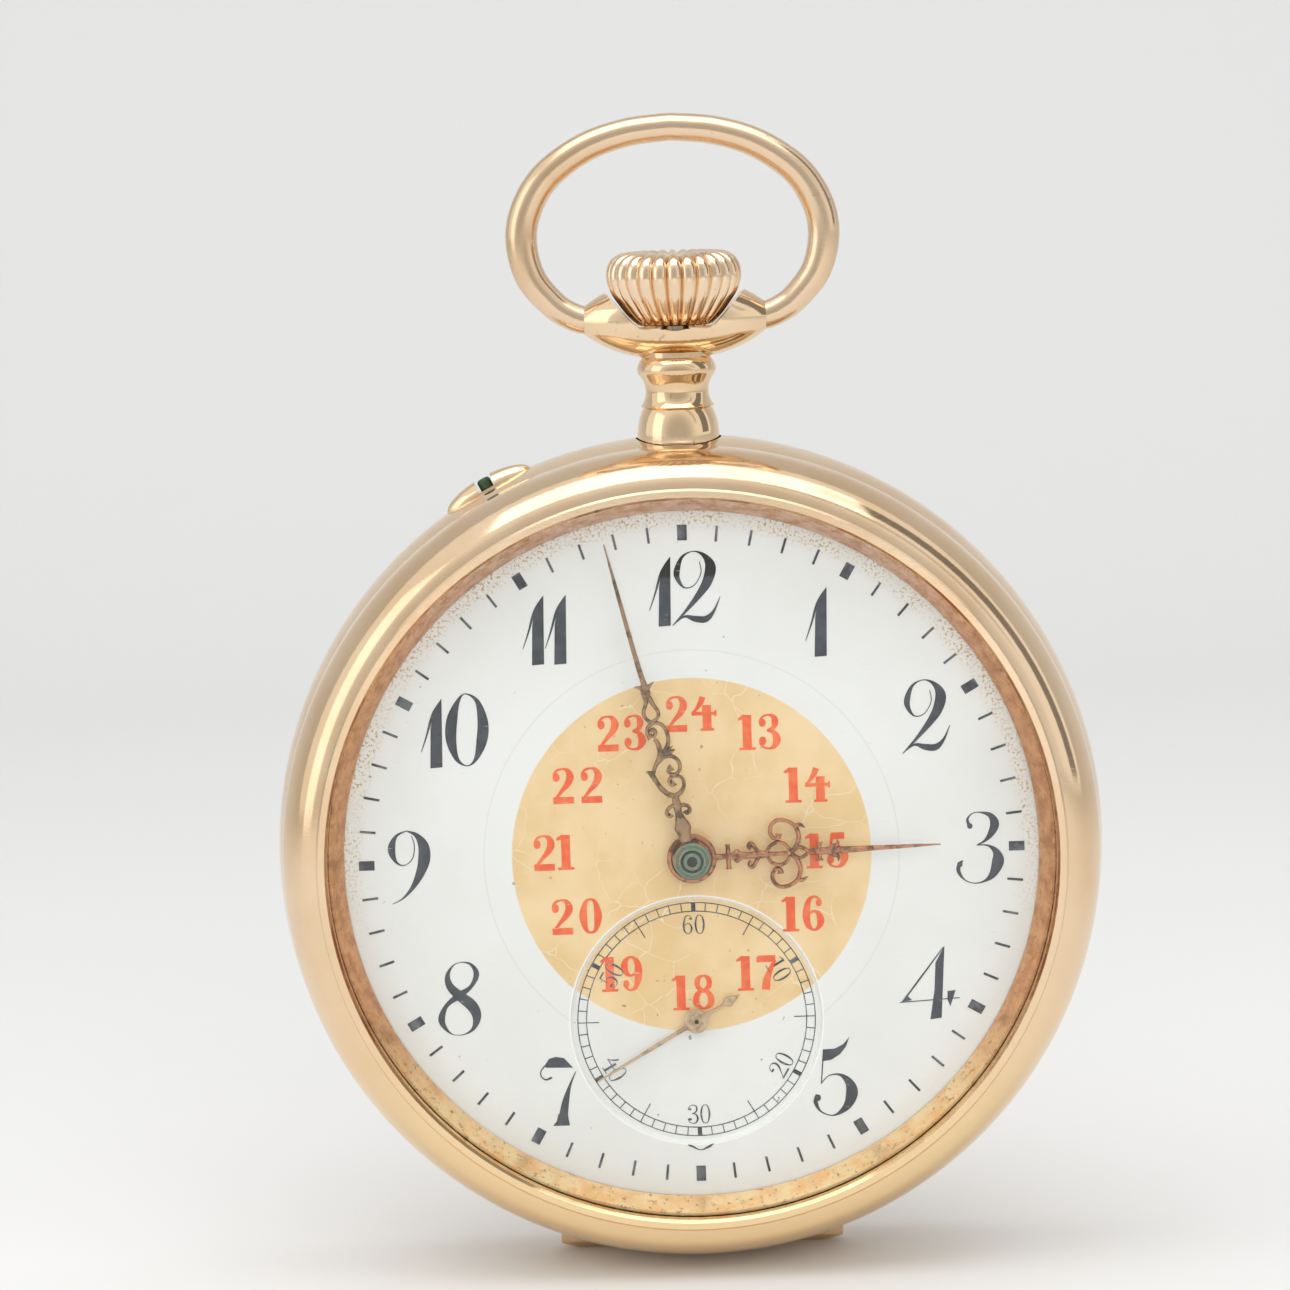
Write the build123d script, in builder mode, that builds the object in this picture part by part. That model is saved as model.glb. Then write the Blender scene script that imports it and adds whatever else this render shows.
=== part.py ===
from build123d import *
from math import atan2, cos, degrees, hypot, radians, sin
import os

# Open face pocket watch, stem wound and set with a nail pin, small seconds at 6 o'clock.
#
# Frame, in millimetres: X towards 3 o'clock, Y into the watch (the dial faces -Y), Z towards the crown.
# The origin is on the axis of the hands, in the front face of the dial.
# Depth means Y. Plan positions are (X, Z) pairs.

# ---------------------------------------------------------------- driving dimensions
RUN = 0.05                 # radial clearance of everything that turns or slides
FIT = 0.01                 # radial clearance of everything that is fitted tight

CASE_R = 25.3              # widest radius of the case
BEZEL_R = 24.9             # rear edge of the bezel
OPENING_R = 21.95          # clear opening in front of the crystal
DIAL_R = 21.75
DIAL_VIEW_R = 21.08        # dial seen inside the bezel's inner slope
PLATE_R = 22.2             # main plate
BRIDGE_R = 21.25           # bridges, free of the case ledge
WALL_R = 18.7              # inner side of the bridge feet

BEZEL_JOINT = 1.3          # depth where the bezel meets the middle case
COVER_JOINT = 6.4          # depth where the covers meet the middle case
GLASS_FLAT_R = 13.0        # flat middle of the crystal
BACK_FLAT_R = 13.0         # flat of the back cover, on which the watch lies
DIAL_T = 0.9
SECONDS_SINK = 0.35        # depth of the sunk seconds ring
SECONDS_R = 7.5
SECONDS_BEVEL = 0.2        # width of the slope around it
PLATE_FRONT = 2.0
PLATE_BACK = 3.3
BRIDGE_FRONT = 6.4
BRIDGE_BACK = 7.45
TOP_WHEELS = (7.52, 8.0)   # ratchet and crown wheel, front and back

STEM_DEPTH = 3.85          # axis of stem, crown and pendant
CROWN_R = 4.1
CROWN_RIBS = 26
PENDANT_BASE = 24.2        # heights along Z
COLLAR_HEIGHT = 32.4
COLLAR_HALF = 5.5          # half the distance between the bow seats
CUP_FLOOR = 31.75
NOTCH_FLOOR = 31.85        # front notch that shows the crown
NOTCH_FLOOR_HALF = 2.2
BOW_WIRE_R = 0.92
BOW_PIN_R = 0.5

HINGE_DEPTH = 6.5
HINGE_HEIGHT = -25.2
HINGE_HALF = 8.8
HINGE_PIN_HALF = 8.5
HINGE_R = 0.62
HINGE_PIN_R = 0.25
HINGE_ROUND_R = 26.9       # round that trims the hinge's ends
KNUCKLE_INNER = 1.8        # half length of the case's middle knuckle
KNUCKLE_OUTER = 5.2        # where the case's end knuckles start
CASE_KNUCKLES = ((-HINGE_HALF, -KNUCKLE_OUTER), (-KNUCKLE_INNER, KNUCKLE_INNER), (KNUCKLE_OUTER, HINGE_HALF))

PUSHER_ANGLE = 27.6        # degrees before 12 o'clock
PUSHER_R = 0.42
GUARD_HALF = 2.9           # half length of the olive that guards the pusher
GUARD_R = 1.0
GUARD_SEAT = 25.05         # distance of its axis from the watch's centre

# Plan positions of the arbors
CENTRE = (0.0, 0.0)
BARREL = (-6.364, 6.364)
THIRD = (4.118, -5.906)
FOURTH = (0.0, -10.2)
ESCAPE = (-4.96, -12.0)
PALLET = (-7.53, -10.26)
BALANCE = (-11.0, -7.9)
CROWN_WHEEL = (0.0, 13.6)
MINUTE_WHEEL = (0.0, 3.0)
INTERMEDIATE = (0.0, 7.53)
SETTING = (0.0, 12.06)
COCK_FOOT = (-17.4, -1.0)
YOKE_PIVOT = (-15.0, 12.0)
CLICK_PIVOT = (-12.6, 10.4)

# Tooth counts and modules: barrel to centre, centre to third, third to fourth, fourth to escape
BARREL_TEETH, CENTRE_LEAVES, BARREL_MODULE = 80, 10, 0.2
CENTRE_TEETH, THIRD_LEAVES, CENTRE_MODULE = 80, 10, 0.16
THIRD_TEETH, FOURTH_LEAVES, THIRD_MODULE = 75, 10, 0.14
FOURTH_TEETH, ESCAPE_LEAVES, FOURTH_MODULE = 80, 8, 0.12
ESCAPE_TEETH = 15
CANNON_LEAVES, MINUTE_TEETH, CANNON_MODULE = 12, 36, 0.125
MINUTE_LEAVES, HOUR_TEETH, HOUR_MODULE = 10, 40, 0.12
SETTING_TEETH = 36
CROWN_TEETH, RATCHET_TEETH, WINDING_MODULE = 28, 36, 0.3
ADDENDUM, DEDENDUM = 0.7, 1.0   # in modules

# Depth of each wheel, front and back
BARREL_TOOTH_LAYER = (3.42, 4.1)
CENTRE_LAYER = (5.65, 5.95)
THIRD_LAYER = (3.65, 3.95)
FOURTH_LAYER = (5.0, 5.25)
ESCAPE_LAYER = (4.1, 4.4)
BALANCE_LAYER = (5.2, 5.8)
BALANCE_R = 6.0
HAIRSPRING_LAYER = (6.02, 6.2)
CANNON_LAYER = (1.55, 1.9)
HOUR_LAYER = (1.02, 1.35)

# Hands: the time shown is 2:57:40
HOUR_ANGLE, MINUTE_ANGLE, SECONDS_ANGLE = 88.8, 346.0, 240.0
HOUR_HAND_L, MINUTE_HAND_L, SECONDS_HAND_L, SECONDS_TAIL_L = 15.1, 19.7, 6.9, 3.1
SECONDS_HAND_LAYER = (-0.3, -0.15)
HOUR_HAND_LAYER = (-1.15, -0.95)
MINUTE_HAND_LAYER = (-1.95, -1.75)

os.makedirs("parts", exist_ok=True)


# ---------------------------------------------------------------- helpers
def save(piece, label):
    """Name a finished piece and write it as its own file."""
    piece.part.label = label
    export_step(piece.part, f"parts/{label}.step")


def facing(depth, at=CENTRE):
    """Plane at a depth that faces the wearer: local x is X, local y is Z."""
    return Plane(origin=(at[0], depth, at[1]), x_dir=(1, 0, 0), z_dir=(0, -1, 0))


def arbor_section(at):
    """Plane through an arbor for half sections: local x is the radius, local y the depth."""
    return Plane(origin=(at[0], 0, at[1]), x_dir=(1, 0, 0), z_dir=(0, 0, 1))


def arbor_axis(at):
    return Axis((at[0], 0, at[1]), (0, 1, 0))


STEM_AXIS = Axis((0, STEM_DEPTH, 0), (0, 0, 1))
STEM_SECTION = Plane(origin=(0, STEM_DEPTH, 0), x_dir=(1, 0, 0), z_dir=(0, -1, 0))


def disc(at, radius, front, back, mode=Mode.ADD):
    """Round slab between two depths."""
    with BuildSketch(facing(back, at)) as face:
        Circle(radius)
    extrude(face.sketch, amount=back - front, mode=mode)


def ring(at, outer, inner, front, back, mode=Mode.ADD):
    """Flat ring between two depths."""
    with BuildSketch(facing(back, at)) as face:
        Circle(outer)
        Circle(inner, mode=Mode.SUBTRACT)
    extrude(face.sketch, amount=back - front, mode=mode)


def turned(at, points, mode=Mode.ADD):
    """Body of revolution about an arbor from (radius, depth) points."""
    with BuildSketch(arbor_section(at)) as half:
        with BuildLine():
            Polyline(*points, close=True)
        make_face()
    revolve(half.sketch, axis=arbor_axis(at), mode=mode)


def arbor(at, steps):
    """Stepped shaft: steps are (radius, depth where the step ends), the first holding its start depth."""
    start = steps[0][1]
    points = [(0, start)]
    depth = start
    for radius, end in steps[1:]:
        points += [(radius, depth), (radius, end)]
        depth = end
    points.append((0, depth))
    turned(at, points)


def polar(radius, angle):
    """Point at an angle in degrees, counted anticlockwise from 3 o'clock."""
    return (radius * cos(radians(angle)), radius * sin(radians(angle)))


def clock(radius, angle):
    """Point at an angle in degrees, counted clockwise from 12 o'clock."""
    return polar(radius, 90 - angle)


def direction(start, end):
    """Angle in degrees from one plan position to another, anticlockwise from 3 o'clock."""
    return degrees(atan2(end[1] - start[1], end[0] - start[0]))


def towards(start, end, distance):
    """Plan position at a distance from start on the way to end."""
    length = hypot(end[0] - start[0], end[1] - start[1])
    return (start[0] + (end[0] - start[0]) * distance / length,
            start[1] + (end[1] - start[1]) * distance / length)


# ---------------------------------------------------------------- case
def bezel_profile():
    """Half section: lip, fine step, rounded shoulder, snap skirt, inner slope and glass groove."""
    Polyline((OPENING_R, -2.05), (OPENING_R, -2.7), (22.12, -2.9), (22.5, -2.9), (22.62, -2.74))
    Spline((22.62, -2.74), (23.75, -2.1), (24.6, -0.65), (BEZEL_R, BEZEL_JOINT),
           tangents=((1, 0.25), (0.02, 1)))
    Polyline((BEZEL_R, BEZEL_JOINT), (22.95, BEZEL_JOINT), (22.95, -0.1), (DIAL_VIEW_R, -0.1),
             (DIAL_VIEW_R, -0.25), (21.75, -1.75), (22.28, -1.75), (22.28, -2.05), (OPENING_R, -2.05))


with BuildPart() as bezel:
    with BuildSketch(Plane.XY):
        with BuildLine():
            bezel_profile()
        make_face()
    revolve(axis=Axis.Y)
save(bezel, "bezel")


def glass_shoulder(top, rim):
    """Flat of the glass from the axis, at a depth, then the arc that rounds it off to a rim point."""
    rise, run = rim[1] - top, rim[0] - GLASS_FLAT_R
    radius = (run ** 2 + rise ** 2) / (2 * rise)
    middle = (GLASS_FLAT_R + run / 2, top + radius - (radius ** 2 - run ** 2 / 4) ** 0.5)
    Line((0, top), (GLASS_FLAT_R, top))
    ThreePointArc((GLASS_FLAT_R, top), middle, rim)


with BuildPart() as crystal:
    with BuildSketch(Plane.XY):
        with BuildLine():
            glass_shoulder(-3.95, (21.85, -2.0))
            Polyline((21.85, -2.0), (22.23, -2.0), (22.23, -1.8), (21.7, -1.8))
            glass_shoulder(-3.15, (21.7, -1.8))
            Line((0, -3.15), (0, -3.95))
        make_face()
    revolve(axis=Axis.Y)
save(crystal, "crystal")


def case_band_profile():
    """Half section of the middle case: snap rim, convex band, back face, and the movement's ledge."""
    Polyline((PLATE_R + 0.1, 0.0), (22.9, 0.0), (22.9, BEZEL_JOINT + RUN),
             (BEZEL_R - 0.05, BEZEL_JOINT + RUN))
    ThreePointArc((BEZEL_R - 0.05, BEZEL_JOINT + RUN), (CASE_R, STEM_DEPTH), (25.05, COVER_JOINT - RUN))
    Polyline((25.05, COVER_JOINT - RUN), (22.6, COVER_JOINT - RUN), (22.6, 4.0), (21.4, 4.0),
             (21.4, PLATE_BACK + RUN), (PLATE_R + 0.1, PLATE_BACK + RUN), (PLATE_R + 0.1, 0.0))


def web(span, depth, thickness, reach):
    """Flat web that rises from the hinge line; span is its two ends along the line."""
    with BuildSketch(Plane.XY.offset(HINGE_HEIGHT)) as foot:
        with Locations((sum(span) / 2, depth)):
            Rectangle(abs(span[1] - span[0]), thickness)
    extrude(foot.sketch, amount=reach)


def knuckle(start, end, radius=HINGE_R):
    """Hinge barrel between two places along the hinge line."""
    with BuildSketch(Plane.YZ.offset(start)) as face:
        with Locations((HINGE_DEPTH, HINGE_HEIGHT)):
            Circle(radius)
    extrude(face.sketch, amount=end - start)


def hinge_bore():
    """Bore along the hinge line for its pin."""
    with BuildSketch(Plane.YZ.offset(-HINGE_HALF)) as face:
        with Locations((HINGE_DEPTH, HINGE_HEIGHT)):
            Circle(HINGE_PIN_R + RUN)
    extrude(face.sketch, amount=2 * HINGE_HALF, mode=Mode.SUBTRACT)


def hinge_gap(start, end):
    """Room for another leaf's hinge barrel."""
    with BuildSketch(Plane.YZ.offset(start)) as face:
        with Locations((HINGE_DEPTH, HINGE_HEIGHT)):
            Circle(HINGE_R + 2 * RUN)
    extrude(face.sketch, amount=end - start, mode=Mode.SUBTRACT)


# Plane across the pusher's line, at the watch's centre, with its normal outwards
PUSHER_OUT = Vector(*clock(1, -PUSHER_ANGLE))
PUSHER_PLANE = Plane(origin=(0, STEM_DEPTH, 0), x_dir=(0, 1, 0), z_dir=(PUSHER_OUT.X, 0, PUSHER_OUT.Y))
# Plane of the guard's outline, on the band, with its Y outwards
GUARD_PLANE = Plane(origin=(GUARD_SEAT * PUSHER_OUT.X, STEM_DEPTH, GUARD_SEAT * PUSHER_OUT.Y),
                    x_dir=(-PUSHER_OUT.Y, 0, PUSHER_OUT.X), z_dir=(0, 1, 0))

with BuildPart() as middle_case:
    with BuildSketch(Plane.XY):
        with BuildLine():
            case_band_profile()
        make_face()
    revolve(axis=Axis.Y)
    # Stem tube hole, and the seat of the pendant
    with BuildSketch(Plane.XY.offset(20.0)):
        with Locations((0, STEM_DEPTH)):
            Circle(1.5)
    extrude(amount=6.0, mode=Mode.SUBTRACT)
    with BuildSketch(Plane.XY.offset(PENDANT_BASE - RUN)):
        with Locations((0, STEM_DEPTH)):
            Circle(2.6)
    extrude(amount=2.0, mode=Mode.SUBTRACT)
    # Guard around the set pusher: a small olive on the band, parted by the pusher's slot
    with BuildSketch(GUARD_PLANE):
        Ellipse(GUARD_HALF, GUARD_R)
        with Locations((0, -GUARD_R)):
            Rectangle(2 * GUARD_HALF, 2 * GUARD_R, mode=Mode.SUBTRACT)
    revolve(axis=Axis(GUARD_PLANE.origin, GUARD_PLANE.x_dir))
    with BuildSketch(PUSHER_PLANE.offset(CASE_R + 0.02)):
        Rectangle(3.0, 2 * (PUSHER_R + 0.13))
    extrude(amount=2.0, mode=Mode.SUBTRACT)
    with BuildSketch(PUSHER_PLANE.offset(19.0)):
        Circle(PUSHER_R + RUN)
    extrude(amount=8.0, mode=Mode.SUBTRACT)
    # Room for the covers' hinge barrels, then the case's own barrels on webs from the band
    hinge_gap(-KNUCKLE_OUTER, -KNUCKLE_INNER)
    hinge_gap(KNUCKLE_INNER, KNUCKLE_OUTER)
    for start, end in CASE_KNUCKLES:
        web((start, end), HINGE_DEPTH - 0.75, 0.9, 3.2)
        knuckle(start, end)
    hinge_bore()
    # Ends of the hinge filed round
    with BuildSketch(Plane.XZ.offset(-HINGE_DEPTH + 2)):
        Circle(CASE_R + 4)
        Circle(HINGE_ROUND_R, mode=Mode.SUBTRACT)
        with Locations((0, CASE_R / 2)):
            Rectangle(3 * CASE_R, 2.4 * CASE_R, mode=Mode.SUBTRACT)
    extrude(amount=-4, mode=Mode.SUBTRACT)
save(middle_case, "middle_case")

with BuildPart() as set_pusher:
    with BuildSketch(PUSHER_PLANE.offset(20.75)):
        Circle(PUSHER_R)
    extrude(amount=25.95 - 20.75)
    outer_rim = set_pusher.edges().sort_by(Axis((0, STEM_DEPTH, 0), (PUSHER_OUT.X, 0, PUSHER_OUT.Y)))[-1]
    fillet(outer_rim, 0.2)
save(set_pusher, "set_pusher")


def neck_profile():
    """Right half of the turned neck, from its seat on the case up into the collar."""
    Line((0.95, PENDANT_BASE), (2.4, PENDANT_BASE))
    Spline((2.4, PENDANT_BASE), (2.5, 25.35), (2.42, 26.1), (2.12, 26.95))
    Line((2.12, 26.95), (2.25, 27.1))
    Spline((2.25, 27.1), (1.96, 27.65), (1.92, 28.15), (2.12, 28.75), (2.4, 29.25), (2.32, 29.7), (2.0, 30.1))
    Polyline((2.0, 30.1), (2.0, 30.4), (0.95, 30.4), (0.95, PENDANT_BASE))


def collar_profile():
    """Upper half of the olive shaped collar, turned about the line of the bow pins."""
    Line((-COLLAR_HALF, 0), (-COLLAR_HALF, 0.85))
    Spline((-COLLAR_HALF, 0.85), (-4.3, 1.62), (-2.4, 2.28), (0, 2.5),
           (2.4, 2.28), (4.3, 1.62), (COLLAR_HALF, 0.85))
    Polyline((COLLAR_HALF, 0.85), (COLLAR_HALF, 0), (-COLLAR_HALF, 0))


with BuildPart() as pendant:
    with BuildSketch(STEM_SECTION):
        with BuildLine():
            neck_profile()
        make_face()
    revolve(axis=STEM_AXIS)
    with BuildSketch(Plane(origin=(0, STEM_DEPTH, COLLAR_HEIGHT), x_dir=(1, 0, 0), z_dir=(0, -1, 0))):
        with BuildLine():
            collar_profile()
        make_face()
    revolve(axis=Axis((0, STEM_DEPTH, COLLAR_HEIGHT), (1, 0, 0)))
    # Cup for the crown, open upwards
    with BuildSketch(STEM_SECTION):
        with BuildLine():
            Polyline((0, CUP_FLOOR), (2.42, CUP_FLOOR), (4.5, 34.3), (4.5, 36.0), (0, 36.0), (0, CUP_FLOOR))
        make_face()
    revolve(axis=STEM_AXIS, mode=Mode.SUBTRACT)
    # Notch through the cup's front and back walls
    with BuildSketch(Plane(origin=(0, STEM_DEPTH, 0), x_dir=(1, 0, 0), z_dir=(0, -1, 0))):
        with BuildLine():
            Polyline((-NOTCH_FLOOR_HALF, NOTCH_FLOOR), (NOTCH_FLOOR_HALF, NOTCH_FLOOR), (4.35, 34.2),
                     (4.35, 36.0), (-4.35, 36.0), (-4.35, 34.2), (-NOTCH_FLOOR_HALF, NOTCH_FLOOR))
        make_face()
    extrude(amount=3.0, both=True, mode=Mode.SUBTRACT)
    # Stem bore, and the two bow seats
    with BuildSketch(Plane.XY.offset(PENDANT_BASE)):
        with Locations((0, STEM_DEPTH)):
            Circle(0.95)
    extrude(amount=CUP_FLOOR - PENDANT_BASE, mode=Mode.SUBTRACT)
    for side in (-1, 1):
        with BuildSketch(Plane.YZ.offset(side * COLLAR_HALF)):
            with Locations((STEM_DEPTH, COLLAR_HEIGHT)):
                Circle(BOW_PIN_R + RUN)
        extrude(amount=-side * 1.2, mode=Mode.SUBTRACT)
save(pendant, "pendant")

# Centre line of the bow from its top down to the right seat, (X, height)
BOW_LINE = ((0, 43.92), (2.6, 43.65), (5.2, 42.8), (7.5, 41.2), (8.75, 39.3), (9.15, 37.3), (8.65, 35.1),
            (7.35, 33.45), (COLLAR_HALF + 0.12, 32.42))
BOW_FACE = COLLAR_HALF + 0.08   # where the bow turns against the collar's end

with BuildPart() as bow:
    with BuildLine(Plane(origin=(0, STEM_DEPTH, 0), x_dir=(1, 0, 0), z_dir=(0, -1, 0))) as wire:
        Spline(*BOW_LINE, tangents=((1, 0), (-1, -0.35)))
    with BuildSketch(Plane(origin=wire.line @ 0, z_dir=wire.line % 0)):
        Circle(BOW_WIRE_R)
    sweep(path=wire.line)
    with BuildSketch(Plane.YZ.offset(BOW_FACE)) as seat:
        with Locations((STEM_DEPTH, COLLAR_HEIGHT)):
            Circle(0.86)
    extrude(seat.sketch, amount=0.4)
    with BuildSketch(Plane.YZ) as gap:
        with Locations((STEM_DEPTH, COLLAR_HEIGHT)):
            Circle(2.0)
    extrude(gap.sketch, amount=BOW_FACE, mode=Mode.SUBTRACT)
    with BuildSketch(Plane.YZ.offset(COLLAR_HALF - 1.1)) as pin:
        with Locations((STEM_DEPTH, COLLAR_HEIGHT)):
            Circle(BOW_PIN_R)
    extrude(pin.sketch, amount=1.3)
    mirror(about=Plane.YZ)
save(bow, "bow")

# Crown outline, (radius, height): flared from the cup to a rounded shoulder and a dished top
CROWN_OUTLINE = ((2.16, 32.02), (2.95, 33.2), (3.78, 34.35), (CROWN_R, 35.05), (3.85, 35.85), (3.0, 36.4),
                 (1.6, 36.3))


def crown_half(inset, inner):
    """Half section of the crown, held in by an inset, hollow up to an inner radius."""
    points = [(radius - inset, height) for radius, height in CROWN_OUTLINE]
    top = points[-1]
    Spline(*points)
    Polyline(top, (inner, top[1] - 0.15), (inner, CROWN_OUTLINE[0][1]), points[0])


# One rib of the crown's knurl: a narrow wedge of the full outline
with BuildPart() as crown_rib:
    with BuildSketch(STEM_SECTION):
        with BuildLine():
            crown_half(0, 1.2)
        make_face()
    revolve(axis=STEM_AXIS, revolution_arc=0.55 * 360 / CROWN_RIBS)

with BuildPart() as crown:
    with BuildSketch(STEM_SECTION):
        with BuildLine():
            crown_half(0.24, 0.6)
        make_face()
    revolve(axis=STEM_AXIS)
    for index in range(CROWN_RIBS):
        add(crown_rib.part.rotate(STEM_AXIS, index * 360 / CROWN_RIBS))
save(crown, "crown")

with BuildPart() as stem:
    with BuildSketch(STEM_SECTION):
        with BuildLine():
            Polyline((0, 14.7), (0.4, 14.7), (0.4, 15.1), (0.6, 15.3), (0.6, 16.95), (0.85, 16.95),
                     (0.85, 19.4), (0.6, 19.4), (0.6, 19.9), (0.85, 19.9), (0.85, CUP_FLOOR + 0.2),
                     (0.58, CUP_FLOOR + 0.2), (0.58, 35.8), (0, 35.8), (0, 14.7))
        make_face()
    revolve(axis=STEM_AXIS)
save(stem, "stem")


# ---------------------------------------------------------------- covers
with BuildPart() as back_cover:
    with BuildSketch(Plane.XY):
        with BuildLine():
            Spline((25.1, COVER_JOINT + RUN), (24.85, 7.35), (23.4, 8.75), (20.0, 9.6), (BACK_FLAT_R, 10.05),
                   tangents=((0, 1), (-1, 0)))
            Polyline((BACK_FLAT_R, 10.05), (0, 10.05), (0, 9.5), (BACK_FLAT_R, 9.5))
            Spline((BACK_FLAT_R, 9.5), (19.7, 9.1), (22.95, 8.3), (24.2, 7.15), (24.4, COVER_JOINT + RUN),
                   tangents=((1, 0), (0, -1)))
            Line((24.4, COVER_JOINT + RUN), (25.1, COVER_JOINT + RUN))
        make_face()
    revolve(axis=Axis.Y)
    for start, end in ((-HINGE_HALF, -KNUCKLE_OUTER), (-KNUCKLE_INNER, HINGE_HALF)):
        hinge_gap(start - RUN, end + RUN)
    # Slot for the cuvette's hinge arm
    with BuildSketch(Plane.XY.offset(HINGE_HEIGHT - 1)) as slot:
        with Locations(((KNUCKLE_INNER + KNUCKLE_OUTER) / 2, HINGE_DEPTH + 0.3)):
            Rectangle(KNUCKLE_OUTER - KNUCKLE_INNER, 1.3)
    extrude(slot.sketch, amount=3.4, mode=Mode.SUBTRACT)
    knuckle(-KNUCKLE_OUTER + RUN, -KNUCKLE_INNER - RUN)
    web((-KNUCKLE_OUTER + RUN, -KNUCKLE_INNER - RUN), HINGE_DEPTH + 0.4, 0.7, 1.3)
    hinge_bore()
save(back_cover, "back_cover")

with BuildPart() as cuvette:
    with BuildSketch(Plane.XY):
        with BuildLine():
            Polyline((23.7, COVER_JOINT + RUN), (23.6, 7.15), (22.6, 8.15), (19.4, 8.78), (0, 9.0), (0, 8.65),
                     (19.3, 8.42), (22.25, 7.84), (23.25, 6.98), (23.3, COVER_JOINT + RUN),
                     (23.7, COVER_JOINT + RUN))
        make_face()
    revolve(axis=Axis.Y)
    knuckle(KNUCKLE_INNER + RUN, KNUCKLE_OUTER - RUN)
    web((KNUCKLE_INNER + RUN, KNUCKLE_OUTER - RUN), HINGE_DEPTH + 0.32, 0.7, 2.1)
    hinge_bore()
save(cuvette, "cuvette")

with BuildPart() as hinge_pin:
    knuckle(-HINGE_PIN_HALF, HINGE_PIN_HALF, HINGE_PIN_R)
save(hinge_pin, "hinge_pin")


# ---------------------------------------------------------------- wheels
def gear(at, teeth, module, phase, layer):
    """Toothed disc; phase is the angle of one tooth, anticlockwise from 3 o'clock."""
    pitch_r = teeth * module / 2
    tip_r = pitch_r + ADDENDUM * module
    root_r = pitch_r - DEDENDUM * module
    step = 360 / teeth
    outline = []
    for index in range(teeth):
        middle = phase + index * step
        for radius, offset in ((root_r, -0.27), (tip_r, -0.11), (tip_r, 0.11), (root_r, 0.27)):
            outline.append(polar(radius, middle + offset * step))
    with BuildSketch(facing(layer[1], at)) as face:
        with BuildLine():
            Polyline(*outline, close=True)
        make_face()
    extrude(face.sketch, amount=layer[1] - layer[0])


def meshed(phase, teeth, other_teeth, line):
    """Phase of a gear whose gaps take the teeth of its neighbour, back along the line of centres."""
    return line + 180 - (phase - line) * teeth / other_teeth + 180 / other_teeth


def windows(at, hub_r, rim_r, count, width, layer, turn=0.0):
    """Openings between the spokes of a wheel."""
    with BuildSketch(facing(layer[1], at)) as face:
        Circle(rim_r)
        Circle(hub_r, mode=Mode.SUBTRACT)
        with PolarLocations(rim_r / 2, count, start_angle=turn):
            Rectangle(rim_r, width, mode=Mode.SUBTRACT)
    extrude(face.sketch, amount=layer[1] - layer[0], mode=Mode.SUBTRACT)


def bore(at, radius, front=-10.0, back=20.0):
    disc(at, radius, front, back, Mode.SUBTRACT)


# ---------------------------------------------------------------- dial and hands
HOUR_PIPE_R, HOUR_PIPE_BORE = 0.98, 0.7
CANNON_R = HOUR_PIPE_BORE - RUN
SECONDS_PIVOT_R = 0.14
FOOT_ANGLES = (40.0, 165.0, 285.0)
FOOT_CIRCLE_R = 19.4

with BuildPart() as dial:
    disc(CENTRE, DIAL_R, 0.0, DIAL_T)
    fillet(dial.edges().group_by(Axis.Y)[0], 0.25)
    turned(FOURTH, ((0, 0), (SECONDS_R + SECONDS_BEVEL, 0), (SECONDS_R, SECONDS_SINK), (0, SECONDS_SINK)),
           Mode.SUBTRACT)
    bore(CENTRE, HOUR_PIPE_R + 0.12)
    bore(FOURTH, SECONDS_PIVOT_R + 0.1)
    for angle in FOOT_ANGLES:
        disc(polar(FOOT_CIRCLE_R, angle), 0.4, DIAL_T, PLATE_BACK - 0.2)
save(dial, "dial")


def hand_blade(angle, layer, stations):
    """Flat hand: stations are (distance from the axis, half width) along its length."""
    left = [(distance, half) for distance, half in stations]
    right = [(distance, -half) for distance, half in reversed(stations)]
    with BuildSketch(facing(layer[1])) as face:
        with BuildLine():
            Polyline(*left, *right, close=True)
        make_face()
    extrude(face.sketch.rotate(Axis.Y, angle - 90), amount=layer[1] - layer[0])


HAND_TIP = 0.06            # half width at the point of a hand

with BuildPart() as hour_hand:
    hand_blade(HOUR_ANGLE, HOUR_HAND_LAYER,
               ((0.9, 0.35), (4.3, 0.3), (5.3, 1.9), (6.4, 1.9), (7.3, 0.35), (8.8, 0.35), (9.4, 0.16),
                (HOUR_HAND_L, HAND_TIP)))
    disc(CENTRE, 1.5, *HOUR_HAND_LAYER)
    bore(CENTRE, HOUR_PIPE_R + FIT)
save(hour_hand, "hour_hand")

with BuildPart() as minute_hand:
    hand_blade(MINUTE_ANGLE, MINUTE_HAND_LAYER,
               ((0.6, 0.3), (4.1, 0.3), (5.0, 0.75), (8.2, 0.75), (9.0, 0.3), (11.1, 0.55), (11.7, 0.16),
                (MINUTE_HAND_L, HAND_TIP)))
    disc(CENTRE, 1.1, *MINUTE_HAND_LAYER)
    bore(CENTRE, CANNON_R + FIT)
save(minute_hand, "minute_hand")

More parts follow.
